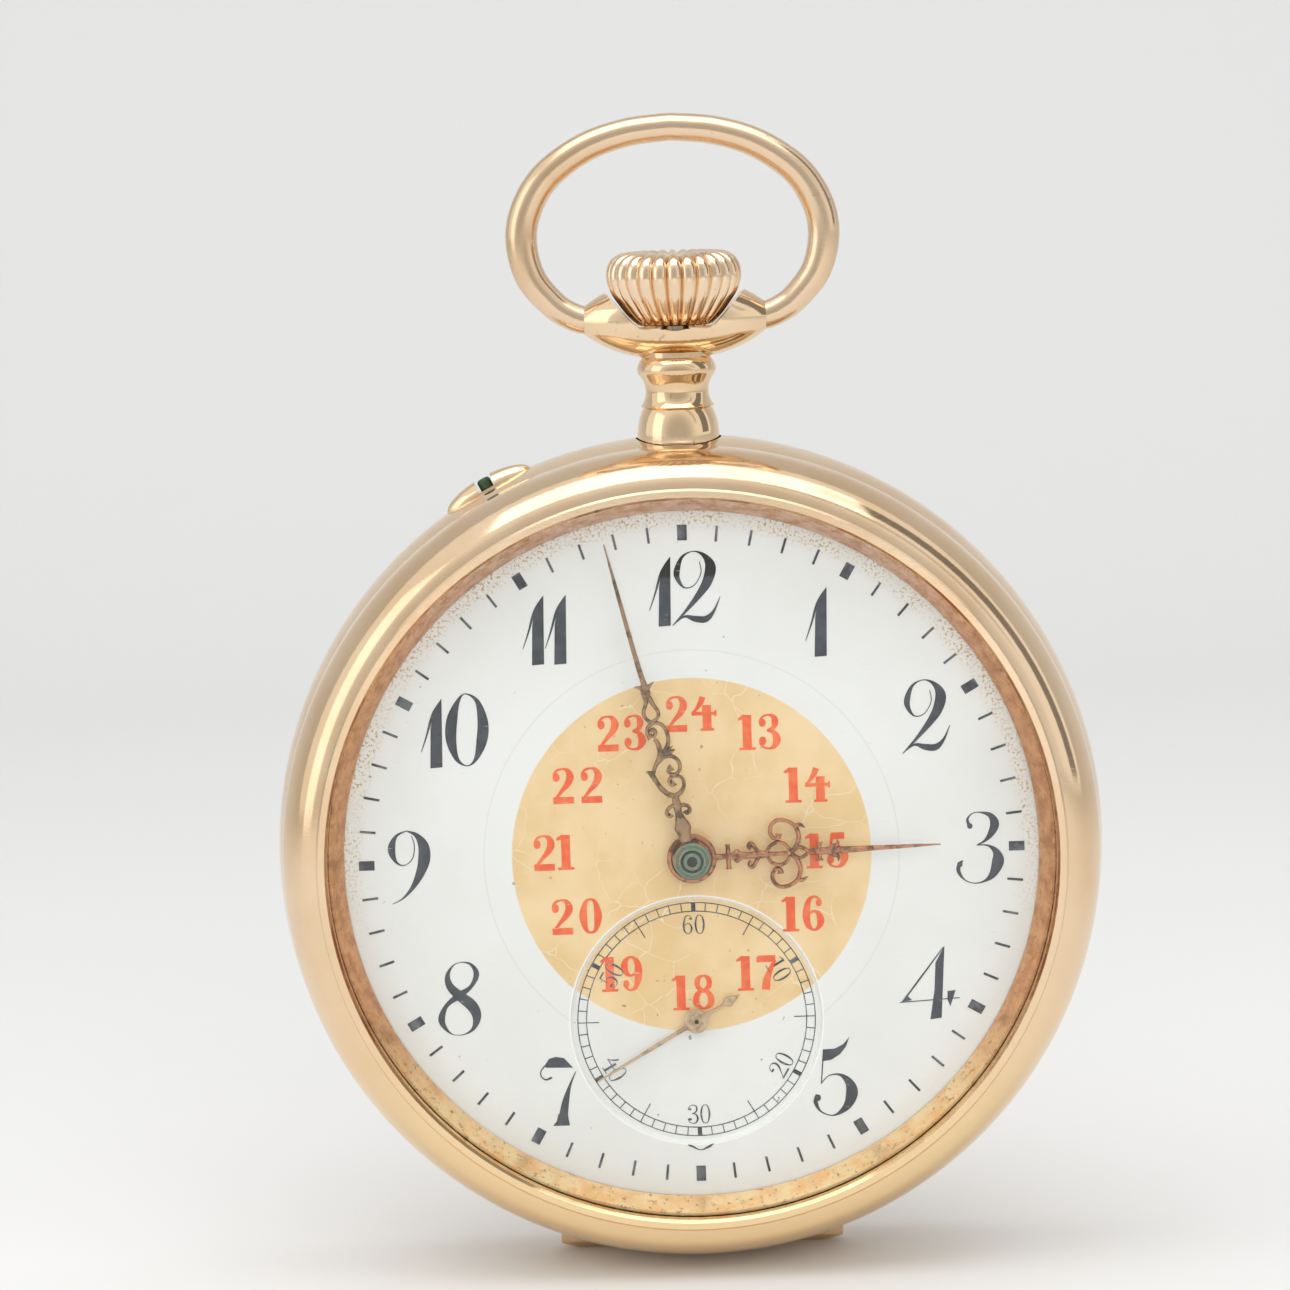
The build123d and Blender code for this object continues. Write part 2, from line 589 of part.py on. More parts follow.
with BuildPart() as seconds_hand:
    with BuildSketch(facing(SECONDS_HAND_LAYER[1])) as face:
        with BuildLine():
            Polyline((-SECONDS_TAIL_L, 0.1), (-2.3, 0.32), (-1.5, 0.12), (0, 0.14), (SECONDS_HAND_L, 0.05),
                     (SECONDS_HAND_L, -0.05), (0, -0.14), (-1.5, -0.12), (-2.3, -0.32),
                     (-SECONDS_TAIL_L, -0.1), close=True)
        make_face()
        Circle(0.72)
        Circle(SECONDS_PIVOT_R + FIT, mode=Mode.SUBTRACT)
    turned_face = face.sketch.rotate(Axis.Y, SECONDS_ANGLE - 90)
    extrude(turned_face.moved(Location((FOURTH[0], 0, FOURTH[1]))),
            amount=SECONDS_HAND_LAYER[1] - SECONDS_HAND_LAYER[0])
save(seconds_hand, "seconds_hand")

# ---------------------------------------------------------------- motion work and setting wheels
CENTRE_POST_R = 0.35       # the centre arbor, inside the cannon pinion
POST_R = 0.3               # studs of the main plate that carry the dial-side wheels
UP = 90.0                  # direction of 12 o'clock
CANNON_PHASE = UP
MINUTE_PHASE = meshed(CANNON_PHASE, CANNON_LEAVES, MINUTE_TEETH, UP)
MINUTE_PINION_PHASE = UP
HOUR_PHASE = meshed(MINUTE_PINION_PHASE, MINUTE_LEAVES, HOUR_TEETH, UP + 180)
INTERMEDIATE_PHASE = meshed(MINUTE_PHASE, MINUTE_TEETH, SETTING_TEETH, UP)
SETTING_PHASE = meshed(INTERMEDIATE_PHASE, SETTING_TEETH, SETTING_TEETH, UP)

with BuildPart() as cannon_pinion:
    gear(CENTRE, CANNON_LEAVES, CANNON_MODULE, CANNON_PHASE, CANNON_LAYER)
    disc(CENTRE, CANNON_R, -2.2, CANNON_LAYER[1])
    bore(CENTRE, CENTRE_POST_R + FIT, -1.9)
save(cannon_pinion, "cannon_pinion")

with BuildPart() as hour_wheel:
    gear(CENTRE, HOUR_TEETH, HOUR_MODULE, HOUR_PHASE, HOUR_LAYER)
    disc(CENTRE, HOUR_PIPE_R, HOUR_HAND_LAYER[0] - 0.1, HOUR_LAYER[1])
    bore(CENTRE, HOUR_PIPE_BORE)
save(hour_wheel, "hour_wheel")

with BuildPart() as minute_wheel:
    gear(MINUTE_WHEEL, MINUTE_TEETH, CANNON_MODULE, MINUTE_PHASE, CANNON_LAYER)
    gear(MINUTE_WHEEL, MINUTE_LEAVES, HOUR_MODULE, MINUTE_PINION_PHASE, (HOUR_LAYER[0], CANNON_LAYER[0]))
    bore(MINUTE_WHEEL, POST_R + RUN)
save(minute_wheel, "minute_wheel")


def setting_gear(at, phase):
    """Intermediate gear of the hand setting train."""
    gear(at, SETTING_TEETH, CANNON_MODULE, phase, CANNON_LAYER)
    bore(at, POST_R + RUN)


with BuildPart() as intermediate_wheel:
    setting_gear(INTERMEDIATE, INTERMEDIATE_PHASE)
save(intermediate_wheel, "intermediate_wheel")

with BuildPart() as setting_wheel:
    setting_gear(SETTING, SETTING_PHASE)
save(setting_wheel, "setting_wheel")


# ---------------------------------------------------------------- going train
TO_CENTRE = direction(BARREL, CENTRE)
CENTRE_PHASE = meshed(TO_CENTRE, BARREL_TEETH, CENTRE_LEAVES, TO_CENTRE)
TO_THIRD = direction(CENTRE, THIRD)
THIRD_PHASE = meshed(TO_THIRD, CENTRE_TEETH, THIRD_LEAVES, TO_THIRD)
TO_FOURTH = direction(THIRD, FOURTH)
FOURTH_PHASE = meshed(TO_FOURTH, THIRD_TEETH, FOURTH_LEAVES, TO_FOURTH)
TO_ESCAPE = direction(FOURTH, ESCAPE)
ESCAPE_PHASE = meshed(TO_ESCAPE, FOURTH_TEETH, ESCAPE_LEAVES, TO_ESCAPE)

BARREL_FRONT, BARREL_BACK, BARREL_LID = 3.42, 5.15, 5.5
BARREL_WALL_R, BARREL_BORE_R, BARREL_CORE_R = 7.35, 6.95, 1.8
BARREL_PIVOT_R = 0.6

with BuildPart() as barrel_drum:
    gear(BARREL, BARREL_TEETH, BARREL_MODULE, TO_CENTRE, BARREL_TOOTH_LAYER)
    disc(BARREL, BARREL_WALL_R, BARREL_FRONT, BARREL_BACK)
    disc(BARREL, BARREL_BORE_R, BARREL_FRONT + 0.35, BARREL_BACK, Mode.SUBTRACT)
    bore(BARREL, BARREL_PIVOT_R + RUN)
save(barrel_drum, "barrel_drum")

with BuildPart() as barrel_lid:
    disc(BARREL, BARREL_WALL_R, BARREL_BACK, BARREL_LID)
    bore(BARREL, BARREL_PIVOT_R + RUN)
save(barrel_lid, "barrel_lid")

SQUARE = 1.1               # side of the arbor's square under the ratchet wheel
RATCHET_SCREW_R = 0.3

with BuildPart() as barrel_arbor:
    arbor(BARREL, ((0, 2.5), (BARREL_PIVOT_R, BARREL_FRONT + 0.4), (BARREL_CORE_R, BARREL_BACK - RUN),
                   (BARREL_PIVOT_R, BRIDGE_BACK + 0.02)))
    with BuildSketch(facing(TOP_WHEELS[1], BARREL)) as face:
        Rectangle(SQUARE, SQUARE)
    extrude(face.sketch, amount=TOP_WHEELS[1] - BRIDGE_BACK)
    bore(BARREL, RATCHET_SCREW_R + FIT, BRIDGE_FRONT)
save(barrel_arbor, "barrel_arbor")


def spiral(at, start_r, end_r, turns, thickness, layer, phase=0.0):
    """Flat coiled strip."""
    steps = int(turns * 10)
    inner = []
    outer = []
    for index in range(steps + 1):
        angle = phase + 360 * turns * index / steps
        radius = start_r + (end_r - start_r) * index / steps
        inner.append(polar(radius, angle))
        outer.append(polar(radius + thickness, angle))
    with BuildSketch(facing(layer[1], at)) as face:
        with BuildLine():
            Spline(*inner)
            Line(inner[-1], outer[-1])
            Spline(*reversed(outer))
            Line(outer[0], inner[0])
        make_face()
    extrude(face.sketch, amount=layer[1] - layer[0])


with BuildPart() as mainspring:
    spiral(BARREL, BARREL_CORE_R + 0.1, BARREL_BORE_R - 0.45, 6.0, 0.3,
           (BARREL_FRONT + 0.45, BARREL_BACK - 0.1))
save(mainspring, "mainspring")


def wheel(at, teeth, module, phase, layer, hub_r, pinion_r, spoke_count=4):
    """Spoked train wheel, bored for its pinion."""
    gear(at, teeth, module, phase, layer)
    windows(at, hub_r, teeth * module / 2 - 4 * module - 0.2, spoke_count, 0.5, layer)
    bore(at, pinion_r + FIT)


STAFF_R = 0.3
PIVOT_R = 0.12
JEWEL_BORE_R = PIVOT_R + 0.03
SHOULDER = 0.06            # end shake between an arbor's shoulder and its jewel

with BuildPart() as centre_wheel:
    wheel(CENTRE, CENTRE_TEETH, CENTRE_MODULE, TO_THIRD, CENTRE_LAYER, 1.6, 0.6, 5)
save(centre_wheel, "centre_wheel")

with BuildPart() as centre_pinion:
    gear(CENTRE, CENTRE_LEAVES, BARREL_MODULE, CENTRE_PHASE, (3.4, 4.5))
    arbor(CENTRE, ((0, -1.85), (CENTRE_POST_R, 3.4), (0.55, 5.4), (0.85, CENTRE_LAYER[0]),
                   (0.6, CENTRE_LAYER[1] + 0.1), (0.35, BRIDGE_FRONT - 0.02), (0.25, BRIDGE_BACK - 0.1)))
save(centre_pinion, "centre_pinion")

with BuildPart() as third_wheel:
    wheel(THIRD, THIRD_TEETH, THIRD_MODULE, TO_FOURTH, THIRD_LAYER, 1.2, STAFF_R)
save(third_wheel, "third_wheel")

with BuildPart() as third_pinion:
    gear(THIRD, THIRD_LEAVES, CENTRE_MODULE, THIRD_PHASE, (5.4, 6.15))
    arbor(THIRD, ((0, PLATE_FRONT + 0.3), (PIVOT_R, PLATE_BACK + SHOULDER),
                  (STAFF_R, BRIDGE_FRONT - SHOULDER), (PIVOT_R, BRIDGE_BACK - 0.3)))
save(third_pinion, "third_pinion")

with BuildPart() as fourth_wheel:
    wheel(FOURTH, FOURTH_TEETH, FOURTH_MODULE, TO_ESCAPE, FOURTH_LAYER, 1.1, STAFF_R)
save(fourth_wheel, "fourth_wheel")

with BuildPart() as fourth_pinion:
    gear(FOURTH, FOURTH_LEAVES, THIRD_MODULE, FOURTH_PHASE, (3.45, 4.25))
    arbor(FOURTH, ((0, SECONDS_HAND_LAYER[0] - 0.08), (SECONDS_PIVOT_R, PLATE_BACK + SHOULDER),
                   (STAFF_R, BRIDGE_FRONT - SHOULDER), (PIVOT_R, BRIDGE_BACK - 0.3)))
save(fourth_pinion, "fourth_pinion")

ESCAPE_R = 2.25
with BuildPart() as escape_wheel:
    with BuildSketch(facing(ESCAPE_LAYER[1], ESCAPE)) as face:
        with BuildLine():
            tooth_points = []
            for index in range(ESCAPE_TEETH):
                middle = index * 360 / ESCAPE_TEETH
                for radius, offset in ((1.7, -10), (ESCAPE_R, -2.2), (ESCAPE_R, 1.2), (1.7, 2.5)):
                    tooth_points.append(polar(radius, middle + offset))
            Polyline(*tooth_points, close=True)
        make_face()
    extrude(face.sketch, amount=ESCAPE_LAYER[1] - ESCAPE_LAYER[0])
    windows(ESCAPE, 0.6, 1.4, 4, 0.28, ESCAPE_LAYER)
    bore(ESCAPE, 0.25 + FIT)
save(escape_wheel, "escape_wheel")

with BuildPart() as escape_pinion:
    gear(ESCAPE, ESCAPE_LEAVES, FOURTH_MODULE, ESCAPE_PHASE, (4.75, 5.5))
    arbor(ESCAPE, ((0, PLATE_FRONT + 0.3), (PIVOT_R, PLATE_BACK + SHOULDER), (0.25, BRIDGE_FRONT - SHOULDER),
                   (PIVOT_R, BRIDGE_BACK - 0.3)))
save(escape_pinion, "escape_pinion")

# ---------------------------------------------------------------- lever and balance
FORK_LAYER = (4.05, 4.45)
LINE = direction(ESCAPE, BALANCE)          # the straight line of escape wheel, pallets and balance
FORK_PLANE = Plane(origin=(PALLET[0], FORK_LAYER[1], PALLET[1]),
                   x_dir=(cos(radians(LINE)), 0, sin(radians(LINE))), z_dir=(0, -1, 0))
FORK_L = 3.25                              # from the pallet arbor to the mouth of the fork
WHEEL_GAP = 0.3                            # the stones stand clear of the escape wheel's tip circle
STONE_ANGLE = 51.5                         # of each stone, about the escape wheel
ESCAPE_TO_PALLET = 3.1
STONE_L, STONE_W = 0.62, 0.3


def stone_slots(length, width, shift, mode=Mode.ADD):
    """One rectangle per pallet stone, in the plane of the fork."""
    for side in (-1, 1):
        reach = polar(ESCAPE_R + WHEEL_GAP + STONE_L / 2 + shift, side * STONE_ANGLE)
        with Locations(Location((reach[0] - ESCAPE_TO_PALLET, reach[1], 0), (0, 0, side * STONE_ANGLE))):
            Rectangle(length, width, mode=mode)


with BuildPart() as pallet_fork:
    for side in (-1, 1):
        with BuildSketch(FORK_PLANE) as arm:
            Circle(0.42)
            with Locations((-0.95, side * 2.45)):
                Circle(0.45)
            make_hull()
            with Locations((-ESCAPE_TO_PALLET, 0)):
                Circle(ESCAPE_R + WHEEL_GAP + 0.08, mode=Mode.SUBTRACT)
            stone_slots(STONE_L + 2 * FIT, STONE_W + 2 * FIT, 0, Mode.SUBTRACT)
        extrude(arm.sketch, amount=FORK_LAYER[1] - FORK_LAYER[0])
    with BuildSketch(FORK_PLANE) as face:
        with BuildLine():
            Polyline((0, 0.3), (FORK_L - 0.6, 0.2), (FORK_L, 0.5), (FORK_L, 0.24), (FORK_L - 0.45, 0.16),
                     (FORK_L - 0.45, -0.16), (FORK_L, -0.24), (FORK_L, -0.5), (FORK_L - 0.6, -0.2),
                     (0, -0.3), close=True)
        make_face()
    extrude(face.sketch, amount=FORK_LAYER[1] - FORK_LAYER[0])
    arbor(PALLET, ((0, PLATE_FRONT + 0.4), (PIVOT_R, PLATE_BACK + SHOULDER), (0.22, 4.54), (PIVOT_R, 4.95)))
save(pallet_fork, "pallet_fork")

with BuildPart() as pallet_stones:
    with BuildSketch(FORK_PLANE) as face:
        stone_slots(STONE_L, STONE_W, 0)
    extrude(face.sketch, amount=FORK_LAYER[1] - FORK_LAYER[0])
save(pallet_stones, "pallet_stones")

RIM_W = 0.75
with BuildPart() as balance_wheel:
    ring(BALANCE, BALANCE_R - 0.35, BALANCE_R - 0.35 - RIM_W, *BALANCE_LAYER)
    with BuildSketch(facing(BALANCE_LAYER[1], BALANCE)) as face:
        Rectangle(2 * (BALANCE_R - 0.7), 0.75, rotation=30)
        Circle(0.95)
    extrude(face.sketch, amount=0.3)
    bore(BALANCE, STAFF_R + FIT)
    with BuildSketch(facing(BALANCE_LAYER[1], BALANCE)) as face:
        with PolarLocations(BALANCE_R - 0.6, 2, start_angle=52):
            Rectangle(RIM_W + 0.6, 0.18)
    extrude(face.sketch, amount=0.6, mode=Mode.SUBTRACT)
save(balance_wheel, "balance_wheel")

BALANCE_SCREWS = 16
with BuildPart() as balance_screws:
    for index in range(BALANCE_SCREWS):
        angle = 30 + (index + 0.5) * 360 / BALANCE_SCREWS
        seat = polar(BALANCE_R - 0.34, angle)
        out = polar(1, angle)
        with BuildSketch(Plane(origin=(BALANCE[0] + seat[0], 5.5, BALANCE[1] + seat[1]),
                               z_dir=(out[0], 0, out[1]))) as head:
            Circle(0.24)
        extrude(head.sketch, amount=0.3)
save(balance_screws, "balance_screws")

ROLLER_R = 0.8
with BuildPart() as balance_staff:
    arbor(BALANCE, ((0, PLATE_FRONT + 0.4), (PIVOT_R, PLATE_BACK + SHOULDER), (STAFF_R, 3.5), (ROLLER_R, 3.8),
                    (STAFF_R, 5.9), (0.62, 6.3), (PIVOT_R, BRIDGE_BACK - 0.15)))
    disc(towards(BALANCE, PALLET, ROLLER_R - 0.13), 0.09, 3.7, FORK_LAYER[1] - 0.05)
save(balance_staff, "balance_staff")

STUD_ANGLE = 125.0
HAIRSPRING_END_R = 3.6
with BuildPart() as hairspring:
    spiral(BALANCE, 0.66, HAIRSPRING_END_R, 8.0, 0.09, HAIRSPRING_LAYER, STUD_ANGLE)
save(hairspring, "hairspring")

# ---------------------------------------------------------------- plate, bridges and cocks
SCREW_R, SCREW_HEAD_R, SCREW_DEPTH = 0.42, 0.85, 2.5
JEWEL_R = 0.62
STEM_WINDOW = (2.75, 14.3, 20.3)           # half width, inner and outer end of the winding pinion's window
BARREL_SCREWS = (polar(19.95, 33), polar(19.95, 66), polar(19.95, 159))
TRAIN_SCREWS = (polar(19.95, -18), polar(19.95, -58), polar(19.95, -100))
COCK_SCREW = COCK_FOOT
PALLET_COCK_FOOT = (-10.6, -15.4)
PLATE_JEWELS = (THIRD, ESCAPE, BALANCE)
TRAIN_JEWELS = (THIRD, FOURTH, ESCAPE)
WALL_PAIRS = {"barrel": ((24, 74), (152, 168)), "train": ((-67, -9), (-108, -92))}
CASE_SCREWS = (polar(20.7, 5), polar(20.7, 196))
CASE_SCREW_HEAD_R = 1.0


def wall(start, end, front, back):
    """Arc shaped foot under the rim of a bridge."""
    with BuildSketch(facing(back)) as face:
        with BuildLine():
            CenterArc((0, 0), BRIDGE_R, start, end - start)
            Line(polar(BRIDGE_R, end), polar(WALL_R, end))
            CenterArc((0, 0), WALL_R, start, end - start)
            Line(polar(WALL_R, start), polar(BRIDGE_R, start))
        make_face()
    extrude(face.sketch, amount=back - front)


def screw_holes(places, back=BRIDGE_BACK):
    """Clearance holes with sunk head seats."""
    for place in places:
        bore(place, SCREW_R + RUN, PLATE_BACK - 1.0, back + 1.0)
        disc(place, SCREW_HEAD_R + RUN, back - 0.45, back + 1.0, Mode.SUBTRACT)


with BuildPart() as main_plate:
    disc(CENTRE, PLATE_R, PLATE_FRONT, PLATE_BACK)
    ring(CENTRE, PLATE_R, DIAL_R - 1.2, DIAL_T + RUN, PLATE_FRONT)
    for post in (MINUTE_WHEEL, INTERMEDIATE, SETTING):
        disc(post, POST_R, DIAL_T + 0.1, PLATE_FRONT + 0.2)
    bore(CENTRE, CENTRE_POST_R + RUN)
    bore(FOURTH, SECONDS_PIVOT_R + RUN)
    bore(BARREL, BARREL_PIVOT_R + RUN, PLATE_FRONT + 0.4)
    bore(PALLET, JEWEL_BORE_R, PLATE_FRONT + 0.3)
    for place in PLATE_JEWELS:
        bore(place, JEWEL_R + FIT)
    for angle in FOOT_ANGLES:
        bore(polar(FOOT_CIRCLE_R, angle), 0.4 + RUN)
    for place in (*BARREL_SCREWS, *TRAIN_SCREWS, COCK_SCREW, PALLET_COCK_FOOT, *CASE_SCREWS, YOKE_PIVOT):
        bore(place, SCREW_R + FIT, SCREW_DEPTH - 0.1)
    # Window for the winding and sliding pinions, and the stem's channel to the rim
    half_width, window_in, window_out = STEM_WINDOW
    with BuildSketch(facing(PLATE_BACK + 1.0)) as face:
        with Locations((0, (window_in + window_out) / 2)):
            Rectangle(2 * half_width, window_out - window_in)
    extrude(face.sketch, amount=PLATE_BACK + 1.0 - 1.2, mode=Mode.SUBTRACT)
    with BuildSketch(Plane.XY.offset(14.0)) as channel:
        with Locations((0, STEM_DEPTH)):
            Circle(0.95)
    extrude(channel.sketch, amount=9.0, mode=Mode.SUBTRACT)
save(main_plate, "main_plate")

STUD_R = 0.25
STUD = (BALANCE[0] + polar(HAIRSPRING_END_R + 0.4, STUD_ANGLE)[0],
        BALANCE[1] + polar(HAIRSPRING_END_R + 0.4, STUD_ANGLE)[1])
STRAP_T = 0.4
CROWN_CORE_R = 1.3
CROWN_SCREW_R = 0.3
SPLIT = 1.5                # height of the line that parts the barrel bridge from the train bridge

with BuildPart() as barrel_bridge:
    with BuildSketch(facing(BRIDGE_BACK)) as face:
        Circle(BRIDGE_R)
        with Locations((0, SPLIT + 0.1 - BRIDGE_R)):
            Rectangle(4 * BRIDGE_R, 2 * BRIDGE_R, mode=Mode.SUBTRACT)
        with Locations(COCK_FOOT):
            Circle(3.9, mode=Mode.SUBTRACT)
    extrude(face.sketch, amount=BRIDGE_BACK - BRIDGE_FRONT)
    for start, end in WALL_PAIRS["barrel"]:
        wall(start, end, PLATE_BACK, BRIDGE_FRONT)
    bore(BARREL, BARREL_PIVOT_R + RUN)
    disc(CROWN_WHEEL, 4.25, BRIDGE_FRONT - 1, BRIDGE_BACK + 1, Mode.SUBTRACT)
    # Strap under the crown wheel, with the core it turns on
    with BuildSketch(facing(BRIDGE_FRONT, CROWN_WHEEL)) as strap:
        Rectangle(10.4, 1.6)
    extrude(strap.sketch, amount=STRAP_T)
    disc(CROWN_WHEEL, CROWN_CORE_R, BRIDGE_FRONT - STRAP_T, TOP_WHEELS[1] - 0.02)
    bore(CROWN_WHEEL, CROWN_SCREW_R + FIT)
    screw_holes(BARREL_SCREWS)
    bore(CLICK_PIVOT, 0.35 + FIT)
save(barrel_bridge, "barrel_bridge")

with BuildPart() as train_bridge:
    with BuildSketch(facing(BRIDGE_BACK)) as face:
        Circle(BRIDGE_R)
        with Locations((0, SPLIT - 0.1 + BRIDGE_R)):
            Rectangle(4 * BRIDGE_R, 2 * BRIDGE_R, mode=Mode.SUBTRACT)
        with Locations(BALANCE):
            Circle(BALANCE_R + 0.5, mode=Mode.SUBTRACT)
        with Locations((-8.0 - BRIDGE_R, 0)):
            Rectangle(2 * BRIDGE_R, 4 * BRIDGE_R, mode=Mode.SUBTRACT)
    extrude(face.sketch, amount=BRIDGE_BACK - BRIDGE_FRONT)
    for start, end in WALL_PAIRS["train"]:
        wall(start, end, PLATE_BACK, BRIDGE_FRONT)
    bore(CENTRE, JEWEL_R + 0.2 + FIT)
    for place in TRAIN_JEWELS:
        bore(place, JEWEL_R + FIT)
    screw_holes(TRAIN_SCREWS)
save(train_bridge, "train_bridge")

with BuildPart() as balance_cock:
    with BuildSketch(facing(BRIDGE_BACK)) as face:
        with Locations(BALANCE):
            Circle(1.7)
        with Locations(COCK_FOOT):
            Circle(2.9)
        make_hull()
    extrude(face.sketch, amount=BRIDGE_BACK - BRIDGE_FRONT)
    with BuildSketch(facing(BRIDGE_FRONT)) as foot:
        with Locations(COCK_FOOT):
            Circle(2.9)
        with Locations(BALANCE):
            Circle(BALANCE_R + 0.5, mode=Mode.SUBTRACT)
    extrude(foot.sketch, amount=BRIDGE_FRONT - PLATE_BACK)
    bore(BALANCE, JEWEL_R + FIT)
    bore(STUD, STUD_R + FIT)
    screw_holes((COCK_SCREW,))
save(balance_cock, "balance_cock")

with BuildPart() as hairspring_stud:
    disc(STUD, STUD_R, HAIRSPRING_LAYER[0] - 0.1, BRIDGE_BACK)
save(hairspring_stud, "hairspring_stud")

PALLET_COCK = (4.6, 5.05)                  # front and back

with BuildPart() as pallet_cock:
    with BuildSketch(facing(PALLET_COCK[1])) as face:
        with Locations(PALLET):
            Circle(0.8)
        with Locations(PALLET_COCK_FOOT):
            Circle(1.3)
        make_hull()
    extrude(face.sketch, amount=PALLET_COCK[1] - PALLET_COCK[0])
    disc(PALLET_COCK_FOOT, 1.3, PLATE_BACK, PALLET_COCK[0])
    bore(PALLET, JEWEL_BORE_R)
    bore(PALLET_COCK_FOOT, SCREW_R + RUN)
save(pallet_cock, "pallet_cock")


def jewel(at, front, outer=JEWEL_R, hole=JEWEL_BORE_R):
    """Pierced bearing jewel."""
    ring(at, outer, hole, front, front + 0.65)


with BuildPart() as train_jewels:
    for place in TRAIN_JEWELS:
        jewel(place, BRIDGE_BACK - 0.75)
    jewel(CENTRE, BRIDGE_BACK - 0.75, JEWEL_R + 0.2, 0.3)
    jewel(BALANCE, BRIDGE_BACK - 0.75)
    for place in PLATE_JEWELS:
        jewel(place, PLATE_FRONT + 0.35)
save(train_jewels, "train_jewels")


def screw(at, head_back, head_r=SCREW_HEAD_R, head_t=0.45, shank_r=SCREW_R, tip=SCREW_DEPTH, slot_turn=0):
    """Slotted cheese head screw driven in from the back."""
    disc(at, head_r, head_back - head_t, head_back)
    disc(at, shank_r, tip, head_back - head_t)
    with BuildSketch(facing(head_back, at)) as slot:
        Rectangle(2 * head_r, 0.22, rotation=slot_turn)
    extrude(slot.sketch, amount=head_t * 0.45, mode=Mode.SUBTRACT)


with BuildPart() as bridge_screws:
    for index, place in enumerate((*BARREL_SCREWS, *TRAIN_SCREWS, COCK_SCREW)):
        screw(place, BRIDGE_BACK, slot_turn=35 * index)
    screw(PALLET_COCK_FOOT, PALLET_COCK[1] + 0.35, 0.8, 0.35)
    screw(YOKE_PIVOT, 4.5, 0.8, 0.35)
    screw(CLICK_PIVOT, 8.35, 0.75, 0.35, 0.35, BRIDGE_FRONT + 0.2, 60)
save(bridge_screws, "bridge_screws")

with BuildPart() as case_screws:
    for place in CASE_SCREWS:
        screw(place, 4.5, CASE_SCREW_HEAD_R, 0.4)
save(case_screws, "case_screws")

with BuildPart() as regulator:
    with BuildSketch(facing(BRIDGE_BACK + 0.3, BALANCE)) as face:
        Circle(1.55)
        with BuildLine():
            Polyline((0, 0.5), (-4.6, 0.08), (-4.6, -0.08), (0, -0.5), close=True)
        make_face()
        Circle(0.75, mode=Mode.SUBTRACT)
    extrude(face.sketch, amount=0.25)
save(regulator, "regulator")

# ---------------------------------------------------------------- winding and setting work
TO_RATCHET = direction(CROWN_WHEEL, BARREL)
FACE_RING = (3.55, 4.0)                    # inner and outer radius of the crown wheel's lower ring

with BuildPart() as crown_wheel:
    gear(CROWN_WHEEL, CROWN_TEETH, WINDING_MODULE, TO_RATCHET, TOP_WHEELS)
    ring(CROWN_WHEEL, FACE_RING[1], FACE_RING[0], BRIDGE_FRONT + 0.05, TOP_WHEELS[0])
    bore(CROWN_WHEEL, CROWN_CORE_R + RUN)
save(crown_wheel, "crown_wheel")

with BuildPart() as ratchet_wheel:
    gear(BARREL, RATCHET_TEETH, WINDING_MODULE, meshed(TO_RATCHET, CROWN_TEETH, RATCHET_TEETH, TO_RATCHET),
         TOP_WHEELS)
    with BuildSketch(facing(TOP_WHEELS[1], BARREL)) as hole:
        Rectangle(SQUARE + 2 * FIT, SQUARE + 2 * FIT)
    extrude(hole.sketch, amount=1.0, mode=Mode.SUBTRACT)
save(ratchet_wheel, "ratchet_wheel")

with BuildPart() as ratchet_screw:
    screw(BARREL, TOP_WHEELS[1] + 0.3, 1.4, 0.28, RATCHET_SCREW_R, BRIDGE_FRONT + 0.1, 20)
save(ratchet_screw, "ratchet_screw")

with BuildPart() as crown_wheel_screw:
    screw(CROWN_WHEEL, TOP_WHEELS[1] + 0.3, 1.9, 0.25, CROWN_SCREW_R, BRIDGE_FRONT - 0.3, 75)
save(crown_wheel_screw, "crown_wheel_screw")


def bar(start, end, start_r, end_r, layer):
    """Flat bar with round ends."""
    with BuildSketch(facing(layer[1])) as face:
        with Locations(start):
            Circle(start_r)
        with Locations(end):
            Circle(end_r)
        make_hull()
    extrude(face.sketch, amount=layer[1] - layer[0])


CLICK_LAYER = (7.52, 7.95)
CLICK_TIP = (BARREL[0] + polar(6.1, 168)[0], BARREL[1] + polar(6.1, 168)[1])
with BuildPart() as click:
    bar(CLICK_PIVOT, CLICK_TIP, 0.95, 0.28, CLICK_LAYER)
    bore(CLICK_PIVOT, 0.35 + RUN)
save(click, "click")

with BuildPart() as click_spring:
    bar((-17.0, 12.2), (-14.6, 8.4), 0.14, 0.14, CLICK_LAYER)
    bar((-14.6, 8.4), (-13.9, 6.2), 0.14, 0.14, CLICK_LAYER)
    disc((-17.0, 12.2), 0.7, BRIDGE_BACK, CLICK_LAYER[1])
save(click_spring, "click_spring")

YOKE_LAYER = (3.6, 4.1)
PUSH_POINT = clock(20.1, -PUSHER_ANGLE)
YOKE_BEND = (-12.6, 15.9)
YOKE_NECK = (-2.9, 16.3)
YOKE_TIP = (-1.75, 16.1)
with BuildPart() as yoke:
    bar(YOKE_PIVOT, YOKE_BEND, 0.95, 0.5, YOKE_LAYER)
    bar(YOKE_BEND, PUSH_POINT, 0.5, 0.5, YOKE_LAYER)
    bar(PUSH_POINT, YOKE_NECK, 0.5, 0.4, YOKE_LAYER)
    bar(YOKE_NECK, YOKE_TIP, 0.22, 0.22, YOKE_LAYER)
    bore(YOKE_PIVOT, SCREW_R + RUN)
save(yoke, "yoke")


